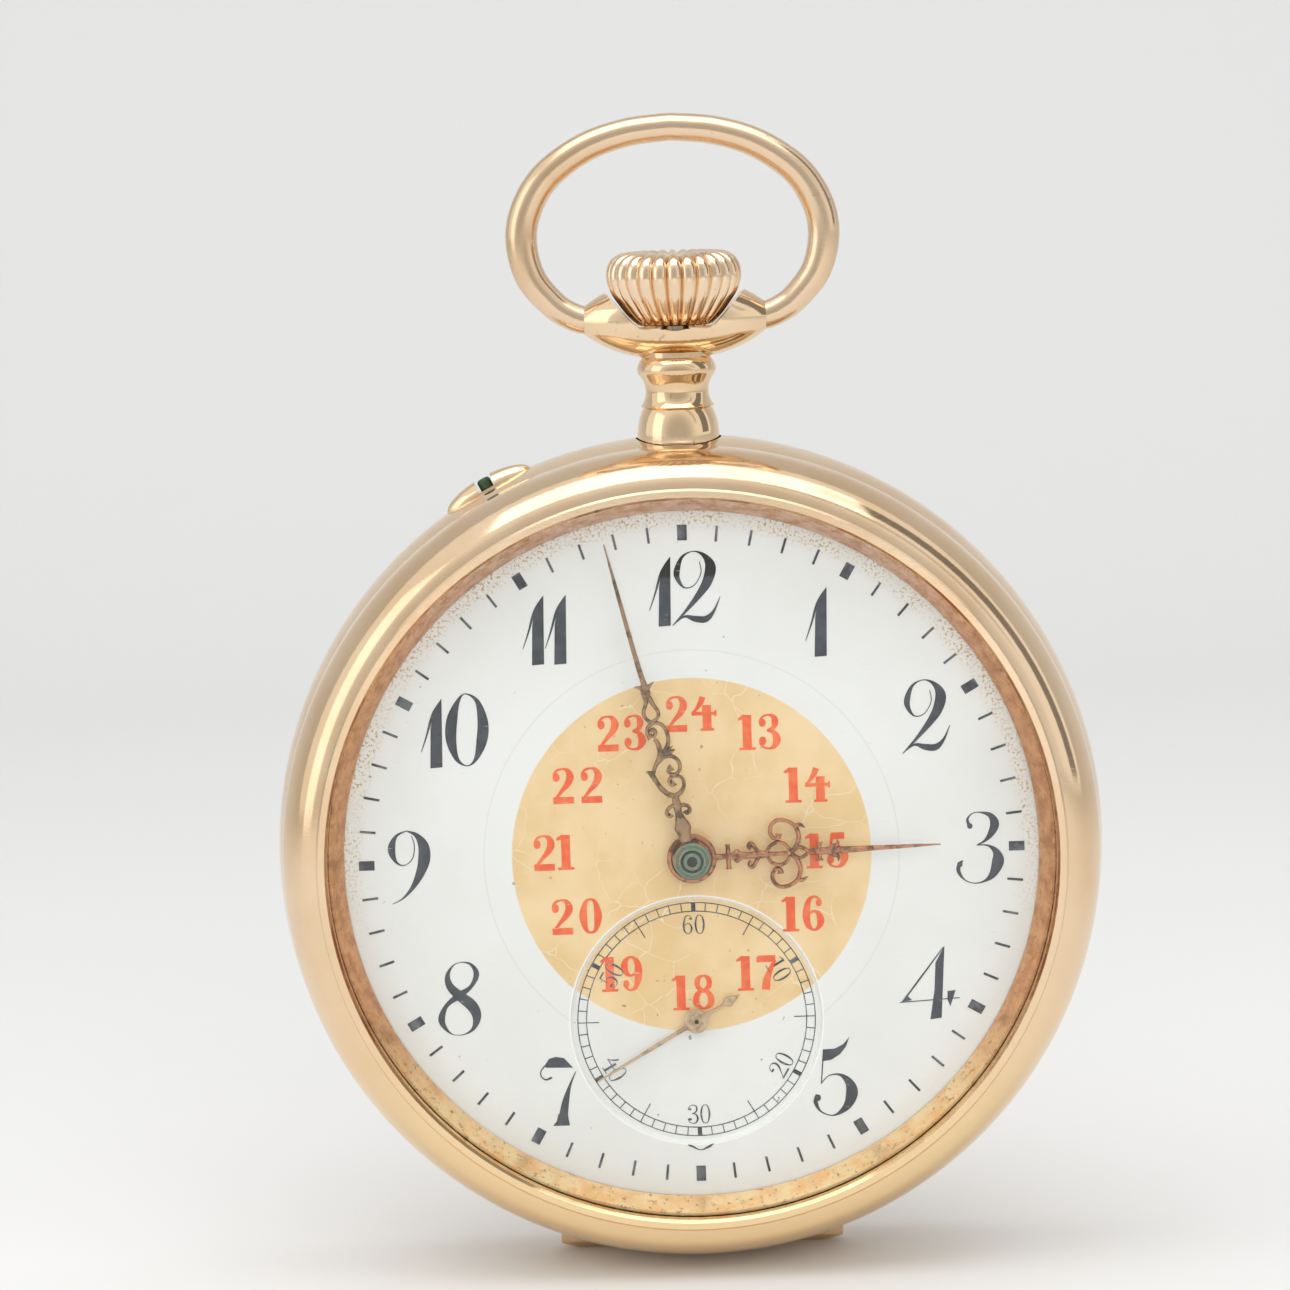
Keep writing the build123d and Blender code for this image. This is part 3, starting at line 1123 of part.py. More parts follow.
def stem_gear(teeth, radius, depth, low, high, hole_r):
    """Toothed sleeve on the stem, between two heights."""
    step = 360 / teeth
    outline = []
    for index in range(teeth):
        for reach, offset in ((radius - depth, -0.3), (radius, -0.14), (radius, 0.14), (radius - depth, 0.3)):
            outline.append(polar(reach, (index + offset) * step))
    with BuildSketch(Plane(origin=(0, STEM_DEPTH, low))) as face:
        with BuildLine():
            Polyline(*outline, close=True)
        make_face()
        Circle(hole_r, mode=Mode.SUBTRACT)
    extrude(face.sketch, amount=high - low)


PINION_BACK_R = 2.4
with BuildPart() as winding_pinion:
    stem_gear(12, PINION_BACK_R, 0.45, 17.0, 19.2, 0.85 + RUN)
save(winding_pinion, "winding_pinion")

SLIDING = (15.2, 16.95)                    # ends along the stem
GROOVE = (15.72, 16.48)
with BuildPart() as sliding_pinion:
    stem_gear(12, 1.9, 0.35, *SLIDING, 0.65)
    with BuildSketch(Plane(origin=(0, STEM_DEPTH, GROOVE[0]))) as groove:
        Circle(2.5)
        Circle(1.25, mode=Mode.SUBTRACT)
    extrude(groove.sketch, amount=GROOVE[1] - GROOVE[0], mode=Mode.SUBTRACT)
save(sliding_pinion, "sliding_pinion")
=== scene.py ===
import bpy
import math
from mathutils import Matrix, Vector


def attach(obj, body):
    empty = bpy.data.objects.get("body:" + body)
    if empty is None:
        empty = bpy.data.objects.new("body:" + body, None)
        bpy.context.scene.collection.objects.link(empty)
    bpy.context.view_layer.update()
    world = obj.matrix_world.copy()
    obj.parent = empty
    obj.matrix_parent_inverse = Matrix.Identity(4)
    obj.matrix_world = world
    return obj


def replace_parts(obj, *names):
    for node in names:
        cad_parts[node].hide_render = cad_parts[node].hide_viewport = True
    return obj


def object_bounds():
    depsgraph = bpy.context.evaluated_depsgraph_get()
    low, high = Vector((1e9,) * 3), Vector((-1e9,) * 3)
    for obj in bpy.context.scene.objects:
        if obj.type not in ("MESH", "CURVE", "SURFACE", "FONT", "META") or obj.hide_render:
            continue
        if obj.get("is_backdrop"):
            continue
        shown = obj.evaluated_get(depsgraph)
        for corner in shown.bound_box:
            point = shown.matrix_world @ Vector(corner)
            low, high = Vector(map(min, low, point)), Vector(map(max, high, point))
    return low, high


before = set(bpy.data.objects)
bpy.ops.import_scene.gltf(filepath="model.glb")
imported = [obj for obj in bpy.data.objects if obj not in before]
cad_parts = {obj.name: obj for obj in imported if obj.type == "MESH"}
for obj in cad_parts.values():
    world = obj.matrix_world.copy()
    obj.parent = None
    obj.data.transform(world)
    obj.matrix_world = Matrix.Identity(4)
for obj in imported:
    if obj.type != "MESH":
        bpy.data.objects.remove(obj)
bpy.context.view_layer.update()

# Open face pocket watch. Lengths are in millimetres and scaled by MM where they meet Blender.
# The dial faces -Y with its enamel at Y 0, its middle is at X 0, Z 0, and the crown is at +Z.
MM = 0.001
STEM_DEPTH = 3.85           # Y of the neck, crown and bow
OCHRE_R = 10.93             # edge of the coloured middle of the dial
FIRED_RING_R = 12.6         # faint line in the enamel outside it
SECONDS_CENTRE = (0.0, -10.2)
SECONDS_PIT_R = 7.5
SECONDS_FLOOR = 0.35        # Y of the enamel in the sunk seconds dial
GLASS_SEAT_R = 22.0         # step of the bezel round the glass
HOUR_ANGLE, MINUTE_ANGLE, SECONDS_ANGLE = 88.4, 346.3, 239.8


# ---------------------------------------------------------------- node materials
class Graph:
    """A material's or world's node tree with short calls for the nodes used here."""

    def __init__(self, name, owners=bpy.data.materials, place="Object"):
        self.data = owners.new(name)
        self.data.use_nodes = True
        self.tree = self.data.node_tree
        self.tree.nodes.clear()
        self.place = self.tree.nodes.new("ShaderNodeTexCoord").outputs[place]

    def node(self, kind, inputs=None, **settings):
        made = self.tree.nodes.new(kind)
        for key, value in settings.items():
            setattr(made, key, value)
        for key, value in (inputs or {}).items():
            self.feed(made.inputs[key], value)
        return made

    def feed(self, socket, value):
        """Link a socket into another, or set its value; a colour may come as a tuple of three."""
        if isinstance(value, bpy.types.NodeSocket):
            self.tree.links.new(value, socket)
        elif isinstance(value, tuple) and len(value) == 3 and socket.type == "RGBA":
            socket.default_value = (*value, 1.0)
        else:
            socket.default_value = value

    def math(self, operation, a, b=0.0, c=0.0):
        made = self.node("ShaderNodeMath", {0: a, 1: b, 2: c}, operation=operation)
        return made.outputs[0]

    def mix(self, amount, a, b):
        made = self.node("ShaderNodeMix", {"Factor": amount}, data_type="RGBA", clamp_factor=True)
        self.feed(made.inputs[6], a)
        self.feed(made.inputs[7], b)
        return made.outputs[2]

    def ramp(self, value, low, high):
        """0 at low, 1 at high, smooth between; low may be the larger of the two."""
        span = {"Value": value, "From Min": low, "From Max": high}
        return self.node("ShaderNodeMapRange", span, interpolation_type="SMOOTHSTEP").outputs["Result"]

    def noise(self, per_mm, detail=3.0, roughness=0.55, stretch=(1, 1, 1)):
        scale = Vector(stretch) * per_mm / MM
        scaled = self.node("ShaderNodeMapping", {"Vector": self.place, "Scale": scale})
        made = self.node("ShaderNodeTexNoise", {"Vector": scaled.outputs[0], "Scale": 1.0,
                                                "Detail": detail, "Roughness": roughness})
        return made.outputs["Fac"]

    def plan(self):
        """X, Z and the distance from the watch's axis, in millimetres."""
        parts = self.node("ShaderNodeSeparateXYZ", {0: self.place})
        x = self.math("DIVIDE", parts.outputs["X"], MM)
        z = self.math("DIVIDE", parts.outputs["Z"], MM)
        return x, z, self.length(x, z)

    def length(self, x, z):
        squares = self.math("ADD", self.math("MULTIPLY", x, x), self.math("MULTIPLY", z, z))
        return self.math("SQRT", squares)

    def bump(self, height, strength, distance_mm=0.05):
        shape = {"Height": height, "Strength": strength, "Distance": distance_mm * MM}
        return self.node("ShaderNodeBump", shape).outputs["Normal"]

    def surface(self, **inputs):
        names = {key.replace("_", " "): value for key, value in inputs.items()}
        shader = self.node("ShaderNodeBsdfPrincipled", names)
        self.output(shader.outputs[0])
        return self.data

    def output(self, shader):
        self.node("ShaderNodeOutputMaterial", {"Surface": shader})


def gold(name, tint=(0.85, 0.64, 0.42), dirt=0.35, rough=0.05):
    """Polished warm gold: fine wear scratches, faint cloudy tarnish and brown dirt in small spots."""
    g = Graph(name)
    cloud = g.noise(0.12, 4.0)
    fine = g.noise(1.6, 3.0)
    scratches = g.noise(2.0, 2.0, 0.7, stretch=(1.0, 0.12, 6.0))
    tarnish = tuple(c * f for c, f in zip(tint, (0.93, 0.88, 0.80)))
    colour = g.mix(g.ramp(cloud, 0.42, 0.68), tint, tarnish)
    spots = g.math("MULTIPLY", g.ramp(fine, 0.66, 0.74), dirt)
    colour = g.mix(spots, colour, (0.22, 0.12, 0.05))
    roughness = g.math("ADD", g.math("MULTIPLY", g.ramp(scratches, 0.45, 0.75), 0.10), rough)
    roughness = g.math("ADD", roughness, g.math("MULTIPLY", spots, 0.5))
    return g.surface(Base_Color=colour, Metallic=1.0, Roughness=roughness,
                     Normal=g.bump(scratches, 0.05, 0.02))


def metal(name, tint, rough=0.25, grain=(1, 1, 1), stain=(0.3, 0.22, 0.12), stains=0.25):
    """Plain metal with a directional grain and light stains."""
    g = Graph(name)
    lines = g.noise(3.0, 3.0, 0.6, stretch=grain)
    cloud = g.noise(0.35, 3.0)
    colour = g.mix(g.math("MULTIPLY", g.ramp(cloud, 0.5, 0.75), stains), tint, stain)
    roughness = g.math("ADD", g.math("MULTIPLY", lines, 0.18), rough - 0.05)
    return g.surface(Base_Color=colour, Metallic=1.0, Roughness=roughness,
                     Normal=g.bump(lines, 0.12, 0.02))


def striped_plate():
    """Gilt bridge metal with the broad wavy polishing stripes of a finished movement."""
    g = Graph("striped_gilt_plate")
    slanted = g.node("ShaderNodeMapping", {"Vector": g.place, "Rotation": (0, math.radians(35), 0)})
    stripes = g.node("ShaderNodeTexWave",
                     {"Vector": slanted.outputs[0], "Scale": 0.16 / MM, "Distortion": 0.4},
                     wave_type="BANDS", bands_direction="X", wave_profile="SAW").outputs["Fac"]
    fine = g.noise(6.0, 2.0)
    colour = g.mix(stripes, (0.72, 0.55, 0.30), (0.84, 0.68, 0.42))
    roughness = g.math("ADD", g.math("MULTIPLY", stripes, 0.15), g.math("MULTIPLY", fine, 0.2))
    return g.surface(Base_Color=colour, Metallic=1.0, Roughness=roughness,
                     Normal=g.bump(stripes, 0.25, 0.03))


def enamel():
    """White enamel with an ochre middle, fine pale cracks, the fired ring, a painted highlight round the
    seconds pit, brown dirt at its edge and a browner, darker rim all round.
    """
    g = Graph("dial_enamel")
    x, z, radius = g.plan()
    wobble = g.noise(1.2, 3.0)
    white = g.mix(g.ramp(g.noise(0.08, 3.0), 0.35, 0.7), (0.80, 0.80, 0.79), (0.75, 0.75, 0.735))

    # Ochre disc, blotchy, with freckles and a net of fine pale cracks
    ochre = g.mix(g.ramp(g.noise(0.22, 4.0), 0.35, 0.68), (0.83, 0.62, 0.35), (0.75, 0.52, 0.25))
    freckles = g.ramp(g.noise(2.4, 2.0), 0.70, 0.76)
    ochre = g.mix(g.math("MULTIPLY", freckles, 0.6), ochre, (0.50, 0.26, 0.08))
    wander = g.node("ShaderNodeTexNoise", {"Vector": g.place, "Scale": 0.45 / MM, "Detail": 3.0})
    bent = g.node("ShaderNodeVectorMath",
                  {0: wander.outputs["Color"], 1: Vector((1.6, 1.6, 1.6)) * MM, 2: g.place},
                  operation="MULTIPLY_ADD")
    cracks = g.node("ShaderNodeTexVoronoi", {"Vector": bent.outputs[0], "Scale": 0.42 / MM},
                    feature="DISTANCE_TO_EDGE").outputs["Distance"]
    crack_lines = g.math("MULTIPLY", g.ramp(cracks, 0.014, 0.003),
                         g.ramp(g.noise(0.22, 1.0), 0.46, 0.62))
    ochre = g.mix(g.math("MULTIPLY", crack_lines, 0.5), ochre, (0.88, 0.80, 0.64))
    edge = g.math("ADD", radius, g.math("MULTIPLY", wobble, 0.06))
    colour = g.mix(g.ramp(edge, OCHRE_R + 0.05, OCHRE_R - 0.05), white, ochre)

    # Seconds pit: a painted highlight, paler enamel on the bevel round it, and no fired ring across it
    pit = g.length(x, g.math("SUBTRACT", z, SECONDS_CENTRE[1]))
    painted_light_slope = g.math("MULTIPLY", g.ramp(pit, SECONDS_PIT_R - 0.04, SECONDS_PIT_R + 0.02),
                   g.ramp(pit, SECONDS_PIT_R + 0.30, SECONDS_PIT_R + 0.22))
    colour = g.mix(painted_light_slope, colour, (0.90, 0.90, 0.89))
    ring = g.math("ABSOLUTE", g.math("SUBTRACT", radius, FIRED_RING_R))
    ring = g.math("MULTIPLY", g.ramp(ring, 0.09, 0.02),
                  g.ramp(pit, SECONDS_PIT_R + 0.1, SECONDS_PIT_R + 0.3))
    colour = g.mix(g.math("MULTIPLY", ring, 0.16), colour, (0.42, 0.42, 0.40))

    # Golden brown crumbs near the rim, mostly over the upper half, and a few dark specks anywhere
    crumbs = g.ramp(g.noise(5.5, 3.0, 0.65), 0.53, 0.58)
    clumps = g.ramp(g.noise(0.45, 2.0), 0.40, 0.55)
    band = g.math("MULTIPLY", g.ramp(radius, 19.75, 20.6), g.ramp(z, -7.0, 5.0))
    band = g.math("MULTIPLY", band, g.math("ADD", 0.35, g.math("MULTIPLY", clumps, 0.65)))
    tan = g.mix(g.noise(1.3, 2.0), (0.60, 0.42, 0.15), (0.44, 0.25, 0.08))
    colour = g.mix(g.math("MULTIPLY", crumbs, band), colour, tan)
    # The enamel turns a little browner and darker towards the rim, all round
    rim_darkening = g.math("MULTIPLY", g.ramp(radius, 19.2, 21.2), 0.16)
    colour = g.mix(rim_darkening, colour, (0.62, 0.54, 0.40))
    specks = g.math("MULTIPLY", g.ramp(g.noise(1.9, 2.0), 0.735, 0.76), 0.7)
    colour = g.mix(specks, colour, (0.16, 0.15, 0.12))

    scratch = g.ramp(g.noise(0.9, 2.0, stretch=(1.0, 1.0, 9.0)), 0.70, 0.73)
    roughness = g.math("ADD", g.math("MULTIPLY", scratch, 0.2), 0.12)
    height = g.math("SUBTRACT", g.noise(0.5, 2.0), crack_lines)
    return g.surface(Base_Color=colour, Roughness=roughness, Coat_Weight=0.4, Coat_Roughness=0.05,
                     Normal=g.bump(height, 0.06, 0.02))


def ink(name, dark, pale, full_above=None):
    """Fired dial print, worn to a paler tone in places; above a height it keeps its full depth."""
    g = Graph(name)
    worn = g.ramp(g.noise(0.8, 4.0, 0.65), 0.40, 0.64)
    if full_above is not None:
        high = g.ramp(g.plan()[1], full_above, full_above + 0.25)
        worn = g.math("ADD", g.math("MULTIPLY", worn, 0.4), 0.6)
        worn = g.math("MULTIPLY", worn, g.math("SUBTRACT", 1.0, high))
    nicks = g.ramp(g.noise(1.5, 2.0, stretch=(1.0, 1.0, 5.0)), 0.68, 0.71)
    colour = g.mix(g.math("MULTIPLY", nicks, 0.45), g.mix(worn, dark, pale), (0.62, 0.62, 0.60))
    return g.surface(Base_Color=colour, Roughness=0.35)


def tarnished(name, metal_colour, patina, per_mm=1.4, share=(0.45, 0.62), metallic=0.9):
    """Old metal: worn bright in places, dulled and stained in patches."""
    g = Graph(name)
    patches = g.ramp(g.noise(per_mm, 4.0, 0.65), *share)
    colour = g.mix(patches, metal_colour, patina)
    shine = g.math("MULTIPLY", g.math("SUBTRACT", 1.0, patches), metallic)
    roughness = g.math("ADD", g.math("MULTIPLY", patches, 0.35), 0.28)
    return g.surface(Base_Color=colour, Metallic=shine, Roughness=roughness,
                     Normal=g.bump(g.noise(5.0, 3.0), 0.25, 0.03))


def bezel_gold():
    """Gold painted yellower towards the bottom as a reflection; its sloping inner wall, behind the glass,
    is copper brown, with a paler painted reflection near the top and painted light, gritty bright gilt, at
    the foot.
    """
    g = Graph("bezel_gold")
    z, radius = g.plan()[1:]
    # Lower part of the ring: the inner wall gets painted light there, and more grit and a fainter seam
    low = g.ramp(z, -8.0, -17.0)
    inside = g.ramp(radius, GLASS_SEAT_R - 0.02, GLASS_SEAT_R - 0.10)
    scratches = g.noise(2.0, 2.0, 0.7, stretch=(1.0, 0.12, 6.0))

    polished = g.mix(g.ramp(g.noise(0.12, 4.0), 0.42, 0.68), (0.84, 0.635, 0.43), (0.78, 0.56, 0.35))
    # Painted reflection: the polished gold turns yellower towards the bottom
    polished = g.mix(g.ramp(z, -4.0, -21.0), polished, (0.91, 0.675, 0.39))

    # Inner wall: copper brown, with a paler pinkish painted reflection towards the top
    copper = g.mix(g.ramp(z, 10.0, 20.0), (0.76, 0.40, 0.20), (0.80, 0.55, 0.42))
    copper = g.mix(g.ramp(g.noise(1.1, 4.0, 0.7), 0.35, 0.7), copper, (0.55, 0.25, 0.11))
    # Painted light: bright gilt for the foot of the inner wall, as if lit from above; the dark grit over it
    # is dirt
    gilt = g.mix(g.ramp(g.noise(0.8, 3.0, 0.6), 0.35, 0.7), (1.0, 0.77, 0.44), (0.97, 0.58, 0.27))
    grain = g.math("SUBTRACT", g.noise(2.6, 5.0, 0.7), g.math("MULTIPLY", low, 0.035))
    grit = g.ramp(grain, 0.52, 0.64)
    grit_share = g.math("ADD", 0.35, g.math("MULTIPLY", low, 0.45))
    # Colour of the inner wall: copper, with painted reflection near the top and painted light towards the
    # foot
    painted_light_slope = g.mix(low, copper, gilt)
    painted_light_slope = g.mix(g.math("MULTIPLY", grit, grit_share), painted_light_slope, (0.30, 0.12, 0.035))
    colour = g.mix(inside, polished, painted_light_slope)

    # Broken line of old dirt in the step round the glass, fainter at the foot
    seam = g.math("ABSOLUTE", g.math("SUBTRACT", radius, GLASS_SEAT_R + 0.02))
    broken = g.math("MULTIPLY_ADD", g.ramp(g.noise(0.35, 3.0), 0.42, 0.60), 0.45, 0.35)
    broken = g.math("MULTIPLY", broken, g.math("SUBTRACT", 1.0, g.math("MULTIPLY", low, 0.6)))
    colour = g.mix(g.math("MULTIPLY", g.ramp(seam, 0.09, 0.03), broken), colour, (0.22, 0.085, 0.03))

    roughness = g.math("ADD", g.math("MULTIPLY", inside, 0.20), 0.09)
    wear = g.math("MULTIPLY", g.ramp(scratches, 0.45, 0.75), 0.08)
    crust = g.math("MULTIPLY", g.math("MULTIPLY", grit, inside), 3.0)
    height = g.math("ADD", crust, g.math("MULTIPLY", scratches, 0.3))
    return g.surface(Base_Color=colour, Roughness=g.math("ADD", roughness, wear),
                     Metallic=g.math("SUBTRACT", 1.0, g.math("MULTIPLY", inside, 0.25)),
                     Normal=g.bump(height, 0.18, 0.03))


def crystal_glass():
    """Clear glass that lets light straight through, shines on its outer faces only, with hairlines."""
    g = Graph("crystal_glass")
    hair = g.ramp(g.noise(0.7, 2.0, stretch=(1.0, 1.0, 14.0)), 0.735, 0.75)
    fresnel = g.node("ShaderNodeFresnel", {"IOR": 1.38}).outputs[0]
    inner_face = g.node("ShaderNodeNewGeometry").outputs["Backfacing"]
    outer_share = g.math("MULTIPLY", g.math("SUBTRACT", 1.0, inner_face), 0.8)
    shine = g.node("ShaderNodeBsdfGlossy", {"Color": (1, 1, 1), "Roughness": 0.02}).outputs[0]
    clear = g.node("ShaderNodeBsdfTransparent", {"Color": (0.985, 0.99, 0.985)}).outputs[0]
    frost = g.node("ShaderNodeBsdfDiffuse", {"Color": (0.9, 0.9, 0.9)}).outputs[0]
    glass = g.node("ShaderNodeMixShader", {0: g.math("MULTIPLY", fresnel, outer_share),
                                           1: clear, 2: shine}).outputs[0]
    g.output(g.node("ShaderNodeMixShader", {0: g.math("MULTIPLY", hair, 0.12),
                                            1: glass, 2: frost}).outputs[0])
    return g.data


def ruby():
    g = Graph("ruby")
    colour = g.mix(g.noise(2.0, 2.0), (0.55, 0.02, 0.07), (0.75, 0.06, 0.14))
    return g.surface(Base_Color=colour, Roughness=0.06, IOR=1.76, Transmission_Weight=0.35)


CROWN_GOLD = gold("crown_gold", (0.86, 0.665, 0.475), 0.5, 0.12)
BOW_GOLD = gold("bow_gold", (0.80, 0.60, 0.41), 0.3, 0.17)
BLACK_INK = ink("numeral_ink", (0.016, 0.014, 0.014), (0.075, 0.085, 0.10), 16.9)
TRACK_INK = ink("track_ink", (0.048, 0.052, 0.060), (0.15, 0.16, 0.175))
RED_INK = ink("red_ink", (0.80, 0.115, 0.035), (0.86, 0.19, 0.07))
HAND_COPPER = tarnished("hand_copper", (0.56, 0.275, 0.165), (0.15, 0.07, 0.04))
HAND_BRONZE = tarnished("minute_hand_bronze", (0.42, 0.275, 0.17), (0.11, 0.075, 0.045))
HAND_GOLD = tarnished("seconds_hand_gold", (0.66, 0.50, 0.34), (0.36, 0.25, 0.15))
VERDIGRIS = tarnished("verdigris", (0.30, 0.25, 0.17), (0.15, 0.225, 0.175), 1.8, (0.35, 0.55), 0.4)
GREEN_PIN = tarnished("set_pin_green", (0.05, 0.09, 0.04), (0.02, 0.05, 0.02), 2.5, (0.3, 0.6), 0.3)
STEEL = metal("polished_steel", (0.55, 0.55, 0.56), 0.2, (1, 1, 4))
DARK_STEEL = metal("dark_steel", (0.10, 0.095, 0.09), 0.4)
BLUED = metal("blued_steel", (0.03, 0.06, 0.30), 0.18, stain=(0.10, 0.03, 0.20), stains=0.3)
BRASS = metal("wheel_brass", (0.78, 0.60, 0.28), 0.22, (4, 1, 1))

# Finish of each CAD node; the nodes not named are polished steel
FINISHES = {
    gold("case_gold"): ("middle_case", "back_cover", "cuvette", "pendant"),
    bezel_gold(): ("bezel",),
    crystal_glass(): ("crystal",),
    enamel(): ("dial",),
    GREEN_PIN: ("set_pusher",),
    ruby(): ("train_jewels", "pallet_stones"),
    striped_plate(): ("barrel_bridge", "train_bridge", "balance_cock", "pallet_cock"),
    BLUED: ("case_screws", "bridge_screws", "crown_wheel_screw", "ratchet_screw", "hairspring",
            "click_spring"),
    BRASS: ("barrel_drum", "barrel_lid", "centre_wheel", "third_wheel", "fourth_wheel", "hour_wheel",
            "minute_wheel", "intermediate_wheel", "setting_wheel", "balance_wheel", "balance_screws",
            "main_plate"),
    DARK_STEEL: ("cannon_pinion", "hinge_pin", "fourth_pinion"),
}
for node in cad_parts.values():
    node.data.materials.clear()
    node.data.materials.append(next((m for m, names in FINISHES.items() if node.name in names), STEEL))


# ---------------------------------------------------------------- mesh helpers
def add_object(name, data):
    made = bpy.data.objects.new(name, data)
    bpy.context.scene.collection.objects.link(made)
    return made


def add_mesh(name, vertices, faces, body, material, crease=35):
    """New piece on a body, from millimetres, smooth but for edges sharper than the crease angle."""
    mesh = bpy.data.meshes.new(name)
    mesh.from_pydata([Vector(v) * MM for v in vertices], [], faces)
    mesh.update()
    mesh.shade_smooth()
    mesh.set_sharp_from_angle(angle=math.radians(crease))
    mesh.materials.append(material)
    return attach(add_object(name, mesh), body)


def through(points, steps=8, closed=False):
    """Smooth curve through points of any dimension (uniform Catmull-Rom)."""
    if len(points) < 3:
        return [tuple(map(float, p)) for p in points]
    count = len(points)

    def corner(i):
        return Vector(points[i % count if closed else min(max(i, 0), count - 1)])

    curve = []
    for i in range(count if closed else count - 1):
        a, b, c, d = (corner(i + k) for k in (-1, 0, 1, 2))
        for s in range(steps):
            t = s / steps
            even = 2 * b + (2 * a - 5 * b + 4 * c - d) * t * t
            odd = (c - a) * t + (3 * b - a - 3 * c + d) * t ** 3
            curve.append(tuple(0.5 * (even + odd)))
    if not closed:
        curve.append(tuple(map(float, points[-1])))
    return curve


def turned(name, profile, centre, axis, body, material, steps=192, swell=None, crease=35):
    """Closed (radius, height) profile turned about an axis; swell(radius, height, turn) moves points."""
    axis = Vector(axis)
    side = Vector((0, 0, 1)).cross(axis) if abs(axis.z) < 0.5 else Vector((1, 0, 0))
    other = axis.cross(side)
    vertices, faces, count = [], [], len(profile)
    for s in range(steps):
        turn = 2 * math.pi * s / steps
        out = side * math.cos(turn) + other * math.sin(turn)
        for radius, height in profile:
            r, h = swell(radius, height, turn) if swell else (radius, height)
            vertices.append(Vector(centre) + out * r + axis * h)
        for i in range(count):
            a, b = s * count + i, s * count + (i + 1) % count
            c, d = (s + 1) % steps * count + (i + 1) % count, (s + 1) % steps * count + i
            faces.append((a, d, c, b))
    return add_mesh(name, vertices, faces, body, material, crease)


class Relief:
    """Shapes in a local (u, v) plan, gathered into one mesh between two depths of the watch."""

    FLAT = ((-1.0, 0.0), (-1.0, 1.0), (1.0, 1.0), (1.0, 0.0))
    ROUNDED = ((-1.0, 0.0), (-0.86, 0.62), (-0.45, 1.0), (0.45, 1.0), (0.86, 0.62), (1.0, 0.0))
    HAIRLINE = 0.004     # least width of a stroke
    RISE = 0.004         # a stroke's rise from its start to its end, so that crossings never coincide

    def __init__(self, centre=(0.0, 0.0), angle=0.0, scale=1.0, front=0.0, back=0.1, weight=1.0,
                 section=FLAT):
        """The angle is clockwise, front and back are depths, and weight widens the strokes."""
        self.centre, self.angle, self.scale = centre, math.radians(angle), scale
        self.front, self.back, self.weight, self.section = front, back, weight, section
        self.vertices, self.faces = [], []

    def place(self, u, v, depth):
        """Point of the watch at a local place; before the turn, u is to the right and v up."""
        sin, cos = math.sin(self.angle), math.cos(self.angle)
        x = self.centre[0] + self.scale * (u * cos + v * sin)
        z = self.centre[1] + self.scale * (v * cos - u * sin)
        return (x, depth, z)

    def loop(self, outline):
        """Solid with this outline."""
        start, n = len(self.vertices), len(outline)
        self.vertices += [self.place(u, v, self.back) for u, v in outline]
        self.vertices += [self.place(u, v, self.front) for u, v in outline]
        for i in range(n):
            a, b = start + i, start + (i + 1) % n
            self.faces.append((a, b, b + n, a + n))
        self.faces.append(tuple(range(start + n - 1, start - 1, -1)))
        self.faces.append(tuple(range(start + n, start + 2 * n)))

    def blob(self, u, v, size):
        """Round spot, as a stroke that widens and narrows again."""
        r = size / 2
        self.stroke([(u + r * 0.98, v, 0.0), (u + r * 0.7, v, r * 1.42), (u, v, 2 * r),
                     (u - r * 0.7, v, r * 1.42), (u - r * 0.98, v, 0.0)], 4)

    def stroke(self, points, steps=8, closed=False):
        """Ribbon along a curve of (u, v, width)."""
        line = through(points, steps, closed)
        start, n, m = len(self.vertices), len(line), len(self.section)
        for i, (u, v, width) in enumerate(line):
            before = line[i - 1] if closed or i else line[i]
            after = line[(i + 1) % n] if closed or i < n - 1 else line[i]
            along = Vector((after[0] - before[0], after[1] - before[1]))
            along = along.normalized() if along.length > 1e-9 else Vector((1, 0))
            across = Vector((-along.y, along.x)) * max(width, self.HAIRLINE) * self.weight / 2
            thickness = self.back - self.front + self.RISE * i / n
            for share, height in self.section:
                self.vertices.append(self.place(u + across.x * share, v + across.y * share,
                                                self.back - thickness * height))
        for i in range(n if closed else n - 1):
            a, b = start + i * m, start + (i + 1) % n * m
            self.faces += [(a + k, a + (k + 1) % m, b + (k + 1) % m, b + k) for k in range(m)]
        if not closed:
            self.faces.append(tuple(range(start + m - 1, start - 1, -1)))
            self.faces.append(tuple(range(start + (n - 1) * m, start + n * m)))

    def ring(self, radius, width, sides=120):
        turns = [2 * math.pi * k / sides for k in range(sides)]
        circle = [(radius * math.sin(turn), radius * math.cos(turn), width) for turn in turns]
        self.stroke(circle, 1, closed=True)

    def merge(self, other):
        start = len(self.vertices)
        self.vertices += other.vertices
        self.faces += [tuple(start + i for i in face) for face in other.faces]

    def build(self, name, body, material, crease=40):
        return add_mesh(name, self.vertices, self.faces, body, material, crease)


# ---------------------------------------------------------------- print of the dial
PRINT_RISE, PRINT_ROOT = 0.02, 0.05        # how far the print stands on the enamel and goes into it
FIGURE_RISE, SHAPE_RISE = 0.002, 0.0015    # each further figure and shape stands this much higher

